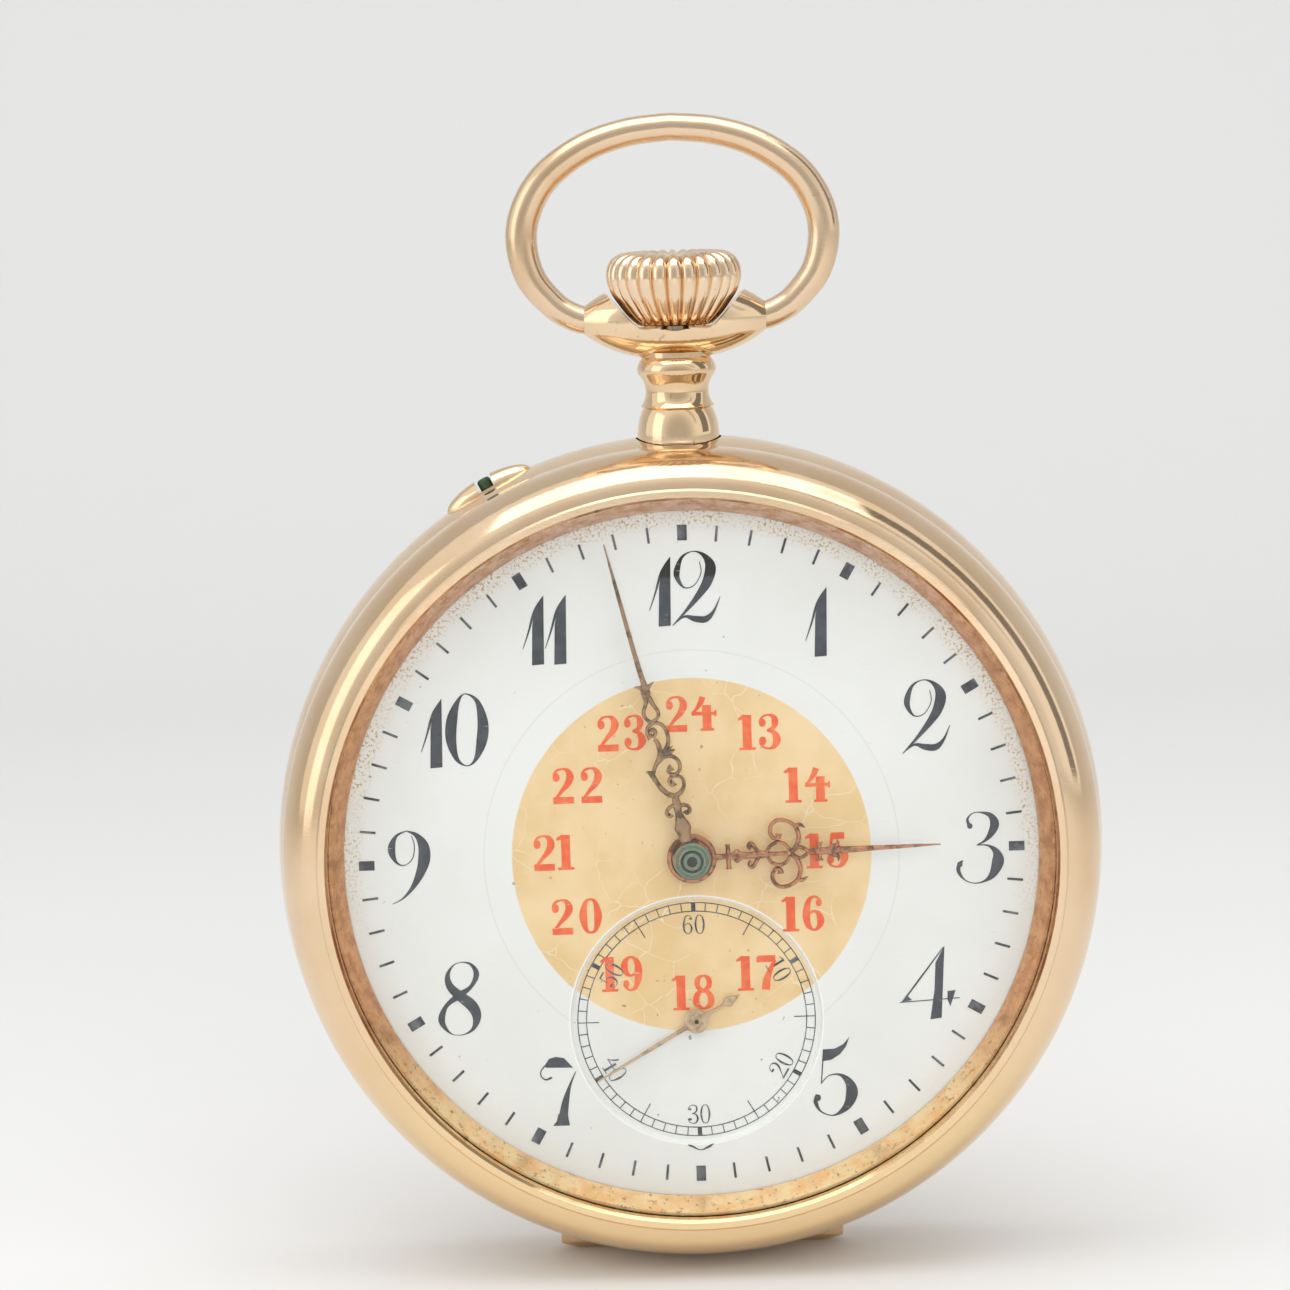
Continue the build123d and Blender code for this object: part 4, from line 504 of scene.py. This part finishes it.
# Hour figures of unit height, in hairlines and full strokes.
# A list of (u, v) is an outline, a list of (u, v, width) a stroke and a single point a round spot.
HOUR_FIGURES = {
    "1": [
        [(-.086, 0), (.075, .01), (.095, .93), (.03, .84), (-.03, .71), (-.065, .53)],
        [(.09, .92, .01), (-.03, .72, .035), (-.12, .44, .022), (-.20, .22, .008)],
    ],
    "2": [
        [(.055, .85, .01), (.073, .70, .012), (-.02, .54, .012), (-.15, .51, .02), (-.235, .62, .06),
         (-.245, .74, .08), (-.17, .92, .035), (-.02, .99, .012), (.12, .93, .06), (.20, .78, .14),
         (.15, .58, .13), (.03, .40, .085), (-.14, .20, .04), (-.32, .01, .012)],
        [(-.30, .03, .008), (-.16, .125, .03), (-.02, .09, .08), (.12, .085, .085), (.23, .19, .035),
         (.315, .375, .008)],
    ],
    "3": [
        [(-.115, .785, .05), (-.135, .87, .03), (-.065, .945, .012), (.043, .955, .02), (.17, .91, .07),
         (.225, .80, .12), (.18, .675, .09), (.09, .57, .035), (-.02, .513, .012)],
        [(-.02, .513, .012), (.13, .505, .025), (.235, .42, .09), (.26, .29, .16), (.19, .12, .10),
         (.075, .025, .03), (-.065, .0, .012), (-.19, .05, .018), (-.265, .155, .05), (-.262, .25, .05),
         (-.21, .31, .02)],
        [(-.105, .775, .075)],
        [(-.25, .26, .075)],
    ],
    "4": [
        [(-.01, 0), (.142, .02), (.20, 1.0), (.075, .77), (.055, .41)],
        [(.185, .98, .012), (-.10, .61, .022), (-.37, .26, .022)],
        [(-.41, .235), (-.25, .275), (-.31, .33)],
        [(-.41, .245, .012), (.39, .285, .012)],
        [(.228, .38), (.336, .39), (.262, .17), (.225, .27)],
    ],
    "5": [
        [(-.137, .90), (-.137, .74), (-.03, .755), (.09, .83), (.17, .93), (.22, 1.06), (.13, .96),
         (.02, .905)],
        [(-.132, .90, .018), (-.172, .43, .014)],
        [(-.172, .44, .012), (-.065, .54, .012), (.085, .545, .035), (.20, .44, .11), (.235, .29, .16),
         (.16, .11, .10), (-.01, -.005, .02), (-.18, .045, .02), (-.255, .18, .055),
         (-.235, .285, .035)],
        [(-.225, .24, .09)],
    ],
    "7": [
        [(-.19, .82), (-.12, .92), (-.03, .945), (.08, .925), (.20, .79), (-.16, .80)],
        [(-.185, .82, .02), (-.235, .75, .015), (-.23, .68, .015), (-.17, .635, .02),
         (-.09, .665, .03)],
        [(.235, .74, .008), (.15, .55, .035), (.085, .33, .09), (.045, .12, .12)],
        [(-.095, 0), (.13, 0), (.105, .16), (-.02, .16), (-.045, .06)],
    ],
    "8": [
        [(0, .54, .09), (.16, .655, .05), (.24, .82, .075), (.18, .95, .04), (.065, .99, .012),
         (-.06, .955, .015), (-.145, .82, .06), (-.12, .67, .10), (0, .54, .13), (.16, .40, .15),
         (.225, .25, .12), (.175, .085, .05), (.04, .005, .012), (-.11, .015, .012), (-.215, .12, .06),
         (-.245, .24, .09), (-.17, .41, .055)],
    ],
    "9": [
        [(-.02, .985, .012), (.11, .925, .06), (.20, .78, .14), (.205, .60, .16), (.15, .42, .12),
         (.04, .22, .06), (-.10, .07, .02), (-.24, 0, .006)],
        [(-.02, .985, .012), (-.16, .915, .04), (-.225, .745, .10), (-.175, .575, .04),
         (-.065, .52, .012), (.05, .61, .014), (.08, .785, .012), (.045, .92, .008)],
    ],
    "0": [
        [(0, .985, .015), (.15, .88, .06), (.215, .60, .14), (.19, .34, .14), (.10, .10, .05),
         (-.02, .02, .015), (-.15, .12, .06), (-.215, .38, .14), (-.19, .66, .14), (-.10, .90, .05)],
    ],
}
# Figures with slab feet and ball ends, for the afternoon hours; drawn thinner for the seconds.
SLAB_FIGURES = {
    "1": [
        [(0, .01, .22), (0, .5, .21), (0, .99, .22)],
        [(-.23, .03, .06), (.23, .03, .06)],
        [(-.25, .86, .05), (-.06, .955, .11)],
    ],
    "2": [
        [(-.20, .74, .21)],
        [(-.275, .79, .06), (-.18, .93, .06), (0, .975, .05), (.13, .91, .12), (.19, .74, .18),
         (.11, .54, .15), (-.06, .34, .09), (-.23, .13, .06)],
        [(-.30, .08, .16), (.28, .08, .16)],
    ],
    "3": [
        [(-.19, .76, .20)],
        [(-.19, .24, .21)],
        [(-.26, .80, .06), (-.17, .93, .05), (0, .975, .05), (.13, .91, .12), (.17, .77, .16),
         (.11, .61, .10), (-.06, .535, .05)],
        [(-.06, .535, .05), (.12, .48, .11), (.21, .28, .19), (.13, .08, .11), (-.02, .025, .05),
         (-.18, .07, .05), (-.265, .2, .06)],
    ],
    "4": [
        [(-.02, .96, .15), (-.08, .80, .13), (-.2, .62, .08), (-.32, .50, .05)],
        [(-.34, .485, .09), (.36, .485, .07)],
        [(.09, .02, .21), (.09, .72, .21)],
        [(-.10, .03, .06), (.28, .03, .06)],
        [(.33, .40, .05), (.33, .57, .05)],
    ],
    "5": [
        [(-.17, .91, .16), (.21, .91, .16)],
        [(-.15, .95, .07), (-.18, .50, .06)],
        [(-.18, .50, .05), (-.02, .60, .06), (.13, .52, .13), (.20, .31, .19), (.12, .08, .11),
         (-.03, .025, .05), (-.18, .07, .05), (-.265, .2, .06)],
        [(-.19, .24, .21)],
    ],
    "6": [
        [(.15, .80, .18)],
        [(.20, .85, .05), (.10, .955, .05), (-.01, .97, .06), (-.14, .85, .12), (-.21, .5, .18),
         (-.17, .17, .14), (-.01, .025, .05), (.14, .12, .12), (.19, .31, .17), (.12, .50, .11),
         (-.01, .56, .05), (-.15, .47, .06)],
    ],
    "7": [
        [(-.24, .90, .16), (.26, .90, .16)],
        [(-.24, .80, .06), (-.24, .95, .06)],
        [(.25, .86, .07), (.10, .56, .12), (.0, .28, .18), (-.03, .01, .20)],
    ],
    "8": [
        [(0, .975, .05), (.15, .88, .12), (.16, .68, .12), (0, .54, .10), (-.16, .68, .12),
         (-.15, .88, .12)],
        [(0, .54, .08), (.18, .42, .14), (.20, .17, .15), (0, .025, .05), (-.20, .17, .15),
         (-.18, .42, .14)],
    ],
    "0": [
        [(0, .975, .05), (.14, .88, .10), (.21, .50, .19), (.14, .12, .10), (0, .025, .05),
         (-.14, .12, .10), (-.21, .50, .19), (-.14, .88, .10)],
    ],
}
# The nine is the six turned upside down
SLAB_FIGURES["9"] = [[(-p[0], 1 - p[1], *p[2:]) for p in shape] for shape in SLAB_FIGURES["6"]]

# Middle of each number on the dial, and its figures' places beside that middle
HOURS = {
    "1": ((8.17, 14.21), (0,)), "2": ((14.41, 8.10), (0,)), "3": ((17.39, 0.05), (0,)),
    "4": ((14.29, -8.30), (0,)), "5": ((8.28, -14.05), (0,)), "7": ((-8.53, -14.20), (0,)),
    "8": ((-14.41, -8.36), (0,)), "9": ((-17.16, -0.13), (0,)), "10": ((-13.95, 8.14), (-1.3, 0.6)),
    "11": ((-8.29, 14.23), (-0.6, 0.75)), "12": ((0.02, 16.34), (-1.2, 0.72)),
}
AFTERNOON = {
    "24": ((0.15, 8.73), (-.79, .83)), "13": ((4.42, 7.47), (-.85, .49)),
    "14": ((7.14, 4.16), (-.87, .58)), "15": ((8.40, 0.08), (-.96, .43)),
    "16": ((6.82, -3.77), (-.91, .49)), "17": ((3.77, -7.42), (-.70, .58)),
    "18": ((-0.03, -8.51), (-.87, .50)), "19": ((-4.51, -7.22), (-.70, .61)),
    "20": ((-7.04, -3.51), (-.91, .79)), "21": ((-8.46, 0.47), (-.46, .83)),
    "22": ((-6.78, 4.55), (-.85, .86)), "23": ((-3.98, 7.67), (-.83, .75)),
}
HOUR_HEIGHT, AFTERNOON_HEIGHT, SECONDS_HEIGHT = 4.55, 2.15, 1.2


def write(group, text, figures, centre, height, angle=0.0, depth=0.0, places=(0.0,), weight=1.0):
    """Add a number's figures to a group of print; places are their middles beside its centre."""
    sin, cos = math.sin(math.radians(angle)), math.cos(math.radians(angle))
    for k, (sign, offset) in enumerate(zip(text, places)):
        foot = (centre[0] + offset * cos - height / 2 * sin, centre[1] - offset * sin - height / 2 * cos)
        figure = Relief(foot, angle, height, back=depth + PRINT_ROOT, weight=weight)
        for m, shape in enumerate(figures[sign]):
            figure.front = depth - PRINT_RISE - FIGURE_RISE * k - SHAPE_RISE * m
            if len(shape) == 1:
                figure.blob(*shape[0])
            elif len(shape[0]) == 2:
                figure.loop(shape)
            else:
                # the noughts and eights run on into their own start
                figure.stroke(shape, closed=sign in "08" and len(shape) > 4)
        group.merge(figure)


def hour_figures():
    """The hours but for the six, of which only the foot shows below the seconds dial."""
    group = Relief()
    for text, (centre, places) in HOURS.items():
        write(group, text, HOUR_FIGURES, centre, HOUR_HEIGHT, places=places)
    six = Relief(front=-PRINT_RISE, back=PRINT_ROOT)
    six.stroke([(-.75, -17.93, .05), (-.5, -18.02, .12), (0, -18.26, .05), (.5, -18.08, .14),
                (.8, -17.90, .05)])
    group.merge(six)
    group.build("dial_hour_figures", "case", BLACK_INK)


def afternoon_figures():
    group = Relief()
    for text, (centre, places) in AFTERNOON.items():
        depth = SECONDS_FLOOR if text in ("17", "18", "19") else 0.0
        write(group, text, SLAB_FIGURES, centre, AFTERNOON_HEIGHT, depth=depth, places=places,
              weight=1.18)
    group.build("dial_afternoon_figures", "case", RED_INK)


def minute_track():
    """Thin strokes, and short heavy blocks at the hours."""
    group = Relief()
    for minute in range(60):
        inner, outer, width = (19.22, 20.18, .15) if minute % 5 else (19.25, 20.20, .58)
        tick = Relief(angle=6 * minute, front=-PRINT_RISE, back=PRINT_ROOT)
        tick.stroke([(0, inner, width), (0, outer, width)])
        group.merge(tick)
    group.build("dial_minute_track", "case", TRACK_INK)


def seconds_track():
    """Two rings with ticks between them on the sunk floor, and a number every ten seconds."""
    inner, outer, hair, bold = 6.72, 7.25, .055, .26
    number_r, five_r = 5.9, 5.95
    front, back = SECONDS_FLOOR - PRINT_RISE, SECONDS_FLOOR + PRINT_ROOT
    group = Relief(SECONDS_CENTRE, front=front, back=back)
    group.ring(outer, hair)
    group.ring(inner, hair)
    for second in range(60):
        start, width = (inner, bold) if second % 10 == 0 else (inner if second % 5 else five_r, hair)
        tick = Relief(SECONDS_CENTRE, 6 * second, front=front - FIGURE_RISE, back=back)
        tick.stroke([(0, start, width), (0, outer, width)])
        group.merge(tick)
    for second in range(0, 60, 10):
        angle = 6 * second
        x, z = Relief(SECONDS_CENTRE, angle).place(0, number_r, 0)[::2]
        upright = angle - 180 if 90 < angle < 270 else angle    # the lower ones read from the foot
        write(group, str(second or 60), SLAB_FIGURES, (x, z), SECONDS_HEIGHT, upright,
              SECONDS_FLOOR - 2 * FIGURE_RISE, (-.36, .36), 0.52)
    group.build("dial_seconds_track", "case", TRACK_INK)


hour_figures()
afternoon_figures()
minute_track()
seconds_track()


# ---------------------------------------------------------------- hands
HAND_WEIGHT = 1.2
LAP_RISE = 0.004            # strokes of a hand that cross stand this much apart
# Front and back of each hand
HOUR_LAYER, MINUTE_LAYER, SECONDS_LAYER = (-1.16, -0.94), (-1.97, -1.75), (-0.31, -0.15)


def mirrored(shapes):
    return shapes + [[(-u, v, w) for u, v, w in shape] for shape in shapes]


# Strokes of the pierced hands before turning: u across, v from the arbor to the tip
HOUR_SHAPES = [
    [(0, 1.3, .45), (0, 1.75, .30), (0, 2.3, .28)],
    [(-.76, 2.2, .30), (-.55, 2.2, .22), (0, 2.2, .26), (.55, 2.2, .22), (.76, 2.2, .30)],
    [(0, 2.2, .27), (0, 2.47, .36), (0, 2.7, .72), (0, 3.05, .42), (0, 3.53, .33), (0, 3.98, .42),
     (0, 4.36, .36), (0, 4.75, .16)],
    [(0, 7.10, .34), (0, 8.05, .38), (0, 8.96, .36), (0, 11.1, .26), (0, 13.3, .17), (0, 15.05, .06)],
    [(0, 6.00, .18), (.33, 6.53, .18), (0, 7.12, .2)],
    [(0, 6.00, .18), (-.33, 6.53, .18), (0, 7.12, .2)],
] + mirrored([
    [(.10, 4.10, .18), (.38, 3.88, .20), (.66, 3.72, .20), (.73, 3.56, .20), (.55, 3.46, .22),
     (.42, 3.62, .30)],
    [(.08, 4.50, .18), (.50, 4.78, .18), (.70, 5.24, .20), (.54, 5.68, .18), (.16, 5.95, .18)],
    [(.06, 4.60, .16), (.02, 5.15, .18), (.06, 5.80, .16)],
    [(.05, 6.00, .21), (.42, 6.34, .24), (1.00, 6.52, .24), (1.60, 6.34, .22), (1.96, 5.86, .20),
     (2.04, 5.28, .20), (1.74, 4.88, .20), (1.30, 4.80, .20), (.96, 5.00, .20), (.98, 5.28, .22),
     (1.22, 5.32, .34)],
    [(1.50, 6.93, .06), (1.70, 6.62, .21), (1.62, 6.34, .20)],
    [(0, 7.78, .21), (.34, 7.72, .21), (.56, 7.72, .40)],
    [(.02, 8.15, .30), (.18, 8.52, .32), (.38, 8.84, .20), (.66, 8.84, .06)],
])
MINUTE_SHAPES = [
    [(0, 1.25, .60), (0, 1.70, .66), (0, 2.15, .84), (0, 2.62, .54), (0, 3.08, .36), (.03, 3.5, .45),
     (.06, 4.05, .34)],
    [(0, 3.42, .24), (-.22, 3.56, .21), (-.56, 3.43, .20), (-.70, 3.16, .20), (-.57, 2.97, .18),
     (-.42, 3.08, .28)],
    [(.02, 3.42, .24), (.38, 3.46, .21), (.66, 3.28, .20), (.68, 2.99, .20), (.48, 2.90, .18),
     (.40, 3.08, .28)],
    [(.07, 4.08, .30), (-.35, 4.36, .27), (-.68, 4.91, .26), (-.86, 5.55, .23), (-.92, 5.85, .20)],
    [(-1.22, 5.98, .06), (-.97, 5.78, .26), (-.86, 5.30, .21)],
    [(.07, 4.08, .30), (.46, 4.23, .26), (.76, 4.58, .21), (.77, 5.02, .19), (.48, 5.26, .19),
     (.12, 5.24, .19), (-.04, 5.04, .19), (.04, 4.80, .20), (.26, 4.92, .38)],
    [(-.89, 5.60, .18), (-.66, 6.06, .21), (-.34, 6.46, .24), (-.10, 6.86, .27), (-.08, 7.40, .24),
     (-.20, 7.75, .21)],
    [(-.38, 6.32, .21), (.05, 6.54, .21), (.50, 6.50, .21), (.81, 6.13, .21), (.81, 5.69, .20),
     (.55, 5.40, .19), (.21, 5.44, .18), (.08, 5.69, .20), (.36, 5.85, .38)],
    [(-.17, 6.60, .15), (.22, 6.80, .40), (.50, 6.77, .28), (.80, 6.84, .06)],
    [(.12, 6.80, .21), (.42, 6.92, .18), (.74, 7.08, .05)],
    [(-.06, 6.70, .21), (.28, 6.99, .23), (.55, 7.38, .22), (.62, 7.99, .21), (.43, 8.51, .20),
     (.02, 8.71, .19), (-.40, 8.54, .20), (-.52, 8.20, .21), (-.38, 7.88, .40)],
    [(-.34, 8.25, .18), (-.14, 8.36, .19), (-.04, 8.13, .20), (-.26, 7.86, .20)],
    [(-.13, 8.78, .19), (-.39, 9.13, .19), (-.40, 9.53, .19), (-.15, 9.95, .22), (.03, 10.4, .30)],
    [(-.13, 8.78, .19), (.30, 8.95, .19), (.44, 9.28, .19), (.28, 9.80, .22), (.10, 10.4, .30)],
    [(-.55, 11.12, .06), (-.24, 11.0, .20), (.02, 10.86, .34), (.36, 10.95, .20), (.66, 11.12, .06)],
    [(-.02, 10.1, .34), (.03, 10.65, .50), (.06, 11.2, .30), (.02, 12.3, .26), (0, 14.8, .22),
     (0, 17.0, .19), (0, 19.9, .07)],
]
SECONDS_SHAPES = [
    [(0, .55, .40), (0, 1.0, .24), (0, 3.5, .19), (0, 7.1, .08)],
    [(0, -.55, .40), (0, -1.0, .22), (0, -1.75, .16), (0, -2.05, .30), (0, -2.3, .56), (0, -2.6, .34),
     (0, -3.1, .05)],
]
# Half sections of the hubs, (radius, depth)
HOUR_HUB = [(0.72, -0.9), (0.72, -1.18), (1.02, -1.24), (1.18, -1.20), (1.26, -1.24), (1.42, -1.20),
            (1.50, -1.08), (1.50, -0.9)]
MINUTE_HUB = [(0.28, -1.75), (0.28, -2.10), (0.33, -2.24), (0.46, -2.26), (0.52, -2.22), (0.56, -2.10),
              (0.64, -2.08), (0.70, -2.16), (0.82, -2.14), (0.87, -2.03), (0.93, -2.02), (0.98, -2.07),
              (1.08, -2.03), (1.12, -1.92), (1.12, -1.75)]
SECONDS_HUB = [(0.14, -0.12), (0.14, -0.42), (0.22, -0.46), (0.40, -0.42), (0.62, -0.38), (0.72, -0.32),
               (0.72, -0.12)]


def hand(name, node, shapes, centre, angle, layer, material):
    """Pierced hand in place of a CAD hand, on the body of the same name."""
    front, back = layer
    group = Relief(centre, angle, front=front, back=back, weight=HAND_WEIGHT, section=Relief.ROUNDED)
    for k, shape in enumerate(shapes):
        group.front = front - LAP_RISE * (k % 5)
        group.stroke(shape, 7)
    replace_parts(group.build(name, node, material, 55), node)


hand("hour_hand_pierced", "hour_hand", HOUR_SHAPES, (0, 0), HOUR_ANGLE, HOUR_LAYER, HAND_COPPER)
hand("minute_hand_pierced", "minute_hand", MINUTE_SHAPES, (0, 0), MINUTE_ANGLE, MINUTE_LAYER, HAND_BRONZE)
hand("seconds_hand_slim", "seconds_hand", SECONDS_SHAPES, SECONDS_CENTRE, SECONDS_ANGLE, SECONDS_LAYER,
     HAND_GOLD)
turned("hour_hand_hub", HOUR_HUB, (0, 0, 0), (0, 1, 0), "hour_hand", HAND_COPPER, 96)
turned("minute_hand_hub", MINUTE_HUB, (0, 0, 0), (0, 1, 0), "minute_hand", VERDIGRIS, 96)
turned("seconds_hand_hub", SECONDS_HUB, (0, 0, SECONDS_CENTRE[1]), (0, 1, 0), "seconds_hand", HAND_GOLD, 72)


# ---------------------------------------------------------------- crown and bow
CROWN_RIBS, RIB_DEPTH = 26, 0.44
# Outside of the crown from its foot to its dished top, and its bore, (radius, height)
CROWN_OUTER = [(2.24, 32.03), (2.84, 32.6), (3.31, 33.2), (3.76, 33.85), (4.04, 34.5), (4.12, 35.05),
               (4.04, 35.6), (3.76, 36.05), (3.25, 36.36), (2.65, 36.45), (2.0, 36.38), (1.45, 36.2),
               (1.0, 36.08)]
CROWN_BORE = [(0.62, 36.05), (0.62, 32.03)]
# The bow's wire from its top to its right end against the collar, (X, height, radius)
BOW_HALF = [(0, 43.92, .84), (2.6, 43.65, .86), (5.2, 42.8, .89), (7.5, 41.2, .93), (8.75, 39.3, .96),
            (9.15, 37.3, .96), (8.65, 35.1, .92), (7.35, 33.45, .86), (6.3, 32.72, .85),
            (5.505, 32.42, .85)]


def ribbed(radius, height, turn):
    """Half round ribs up the side, over the shoulder and into the dished top, with narrow grooves."""
    across = abs((turn * CROWN_RIBS / (2 * math.pi)) % 1 - 0.5) * 2
    depth = RIB_DEPTH * (1 - math.sqrt(max(0.0, 1 - 0.97 * across * across)))
    # the grooves run out towards the axis, and past the shoulder they cut down more than in
    depth *= min(1.0, max(0.0, (radius - 0.95) / 1.9))
    top = min(1.0, max(0.0, (height - 35.3) / 0.9))
    return radius - depth * (1 - 0.7 * top), height - depth * top


def crown():
    piece = turned("crown_ribbed", through(CROWN_OUTER, 5) + CROWN_BORE, (0, STEM_DEPTH, 0), (0, 0, 1),
                   "crown", CROWN_GOLD, CROWN_RIBS * 14, ribbed, 60)
    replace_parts(piece, "crown")


def bow():
    """Round wire of varying thickness, both ends square to the axis that it tilts about."""
    half = through(BOW_HALF, 10)
    line = [(-x, z, r) for x, z, r in reversed(half[1:])] + half
    vertices, faces, sides, last = [], [], 28, len(line) - 1
    for i, (x, z, r) in enumerate(line):
        before, after = line[max(i - 1, 0)], line[min(i + 1, last)]
        along = Vector((after[0] - before[0], 0, after[1] - before[1])).normalized()
        if i in (0, last):
            along = Vector((-1, 0, 0))
        out = Vector((-along.z, 0, along.x))
        for k in range(sides):
            turn = 2 * math.pi * k / sides
            vertices.append(Vector((x, STEM_DEPTH, z)) + out * r * math.cos(turn)
                            + Vector((0, r, 0)) * math.sin(turn))
    for i in range(last):
        a, b = i * sides, (i + 1) * sides
        faces += [(a + k, a + (k + 1) % sides, b + (k + 1) % sides, b + k) for k in range(sides)]
    faces += [tuple(range(sides - 1, -1, -1)), tuple(range(last * sides, (last + 1) * sides))]
    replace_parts(add_mesh("bow_wire", vertices, faces, "bow", BOW_GOLD, 50), "bow")


crown()
bow()


# ---------------------------------------------------------------- studio
LENS, SENSOR = 125.6, 36.0
CAMERA_PLACE = (-2.16, -269.15, 47.87)
CAMERA_AIM = (-2.43, 0.0, 12.98)
CAMERA_ROLL = -1.8          # degrees; the watch leans a little anticlockwise in the frame


def backdrop():
    """Pale paper floor, level with the foot of the watch, that curves up behind it."""
    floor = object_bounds()[0][2] / MM
    near, bend, height, half_width = -900, 160, 900, 1500
    turn_at = 250
    profile = [(near, floor), (turn_at, floor)]
    for k in range(1, 17):
        t = math.pi / 2 * k / 16
        profile.append((turn_at + bend * math.sin(t), floor + bend - bend * math.cos(t)))
    profile.append((turn_at + bend, height))
    vertices = [Vector((x, y, z)) * MM for y, z in profile for x in (-half_width, half_width)]
    mesh = bpy.data.meshes.new("backdrop")
    mesh.from_pydata(vertices, [], [(2 * i, 2 * i + 1, 2 * i + 3, 2 * i + 2)
                                    for i in range(len(profile) - 1)])
    mesh.shade_smooth()
    paper = Graph("backdrop_paper").surface(Base_Color=(0.80, 0.80, 0.80), Roughness=0.9)
    mesh.materials.append(paper)
    add_object("backdrop", mesh)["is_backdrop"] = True


def softbox(name, place, size, watts, shines=True):
    """Rectangular lamp aimed at the watch; one that does not shine lights it without a reflection."""
    aim = Vector((0, 0, 5))
    light = bpy.data.lights.new(name, "AREA")
    light.shape, light.size, light.size_y = "RECTANGLE", size[0] * MM, size[1] * MM
    light.energy = watts
    lamp = add_object(name, light)
    lamp.location = Vector(place) * MM
    lamp.rotation_euler = (aim - Vector(place)).to_track_quat("-Z", "Y").to_euler()
    lamp.visible_glossy = shines


def studio():
    """Bright all round and dimmer behind the camera, with dark things for the gold to mirror."""
    w = Graph("studio", bpy.data.worlds, "Generated")
    bpy.context.scene.world = w.data
    parts = w.node("ShaderNodeSeparateXYZ", {0: w.place})
    east, depth, up = parts.outputs["X"], parts.outputs["Y"], parts.outputs["Z"]
    clock = w.math("ARCTAN2", east, up)

    def window(value, low, high, soft):
        """1 between low and high, falling to 0 over the soft width outside them."""
        return w.math("MULTIPLY", w.ramp(value, low - soft, low), w.ramp(value, high + soft, high))

    def patch(depths, clocks):
        return w.math("MULTIPLY", window(depth, *depths), window(clock, *clocks))

    front = w.ramp(depth, -0.55, -0.97)
    strip = patch((-0.28, 0.08, 0.03), (0.42, 1.55, 0.01))
    streak = patch((-0.58, -0.50, 0.03), (0.30, 1.10, 0.15))
    stand = patch((-0.70, 0.02, 0.05), (-1.92, -1.70, 0.02))
    dome = 0.98
    for shade, share in ((front, 0.42), (strip, 0.72), (streak, 0.30), (stand, 0.80)):
        dome = w.math("SUBTRACT", dome, w.math("MULTIPLY", shade, share))
    seen = w.node("ShaderNodeLightPath").outputs["Is Camera Ray"]
    dome = w.math("MULTIPLY_ADD", dome, w.math("SUBTRACT", 1.0, seen), w.math("MULTIPLY", seen, 0.82))
    light = w.node("ShaderNodeBackground", {"Color": (1.0, 1.0, 0.99), "Strength": dome}).outputs[0]
    w.node("ShaderNodeOutputWorld", {"Surface": light})


def camera():
    """Long lens in front of the watch and a little above it."""
    made = add_object("camera", bpy.data.cameras.new("camera"))
    made.data.sensor_width, made.data.lens, made.data.clip_start = SENSOR, LENS, 0.01
    made.location = Vector(CAMERA_PLACE) * MM
    look = (Vector(CAMERA_AIM) * MM - made.location).to_track_quat("-Z", "Y").to_matrix()
    made.rotation_euler = (look @ Matrix.Rotation(math.radians(CAMERA_ROLL), 3, "Z")).to_euler()
    bpy.context.scene.camera = made


backdrop()
softbox("overhead", (0, -60, 330), (420, 260), 0.45)
softbox("left", (-330, -160, 120), (200, 300), 0.12)
softbox("fill", (60, -400, 160), (300, 300), 0.56, shines=False)
studio()
camera()
bpy.context.scene.view_settings.view_transform = "Standard"
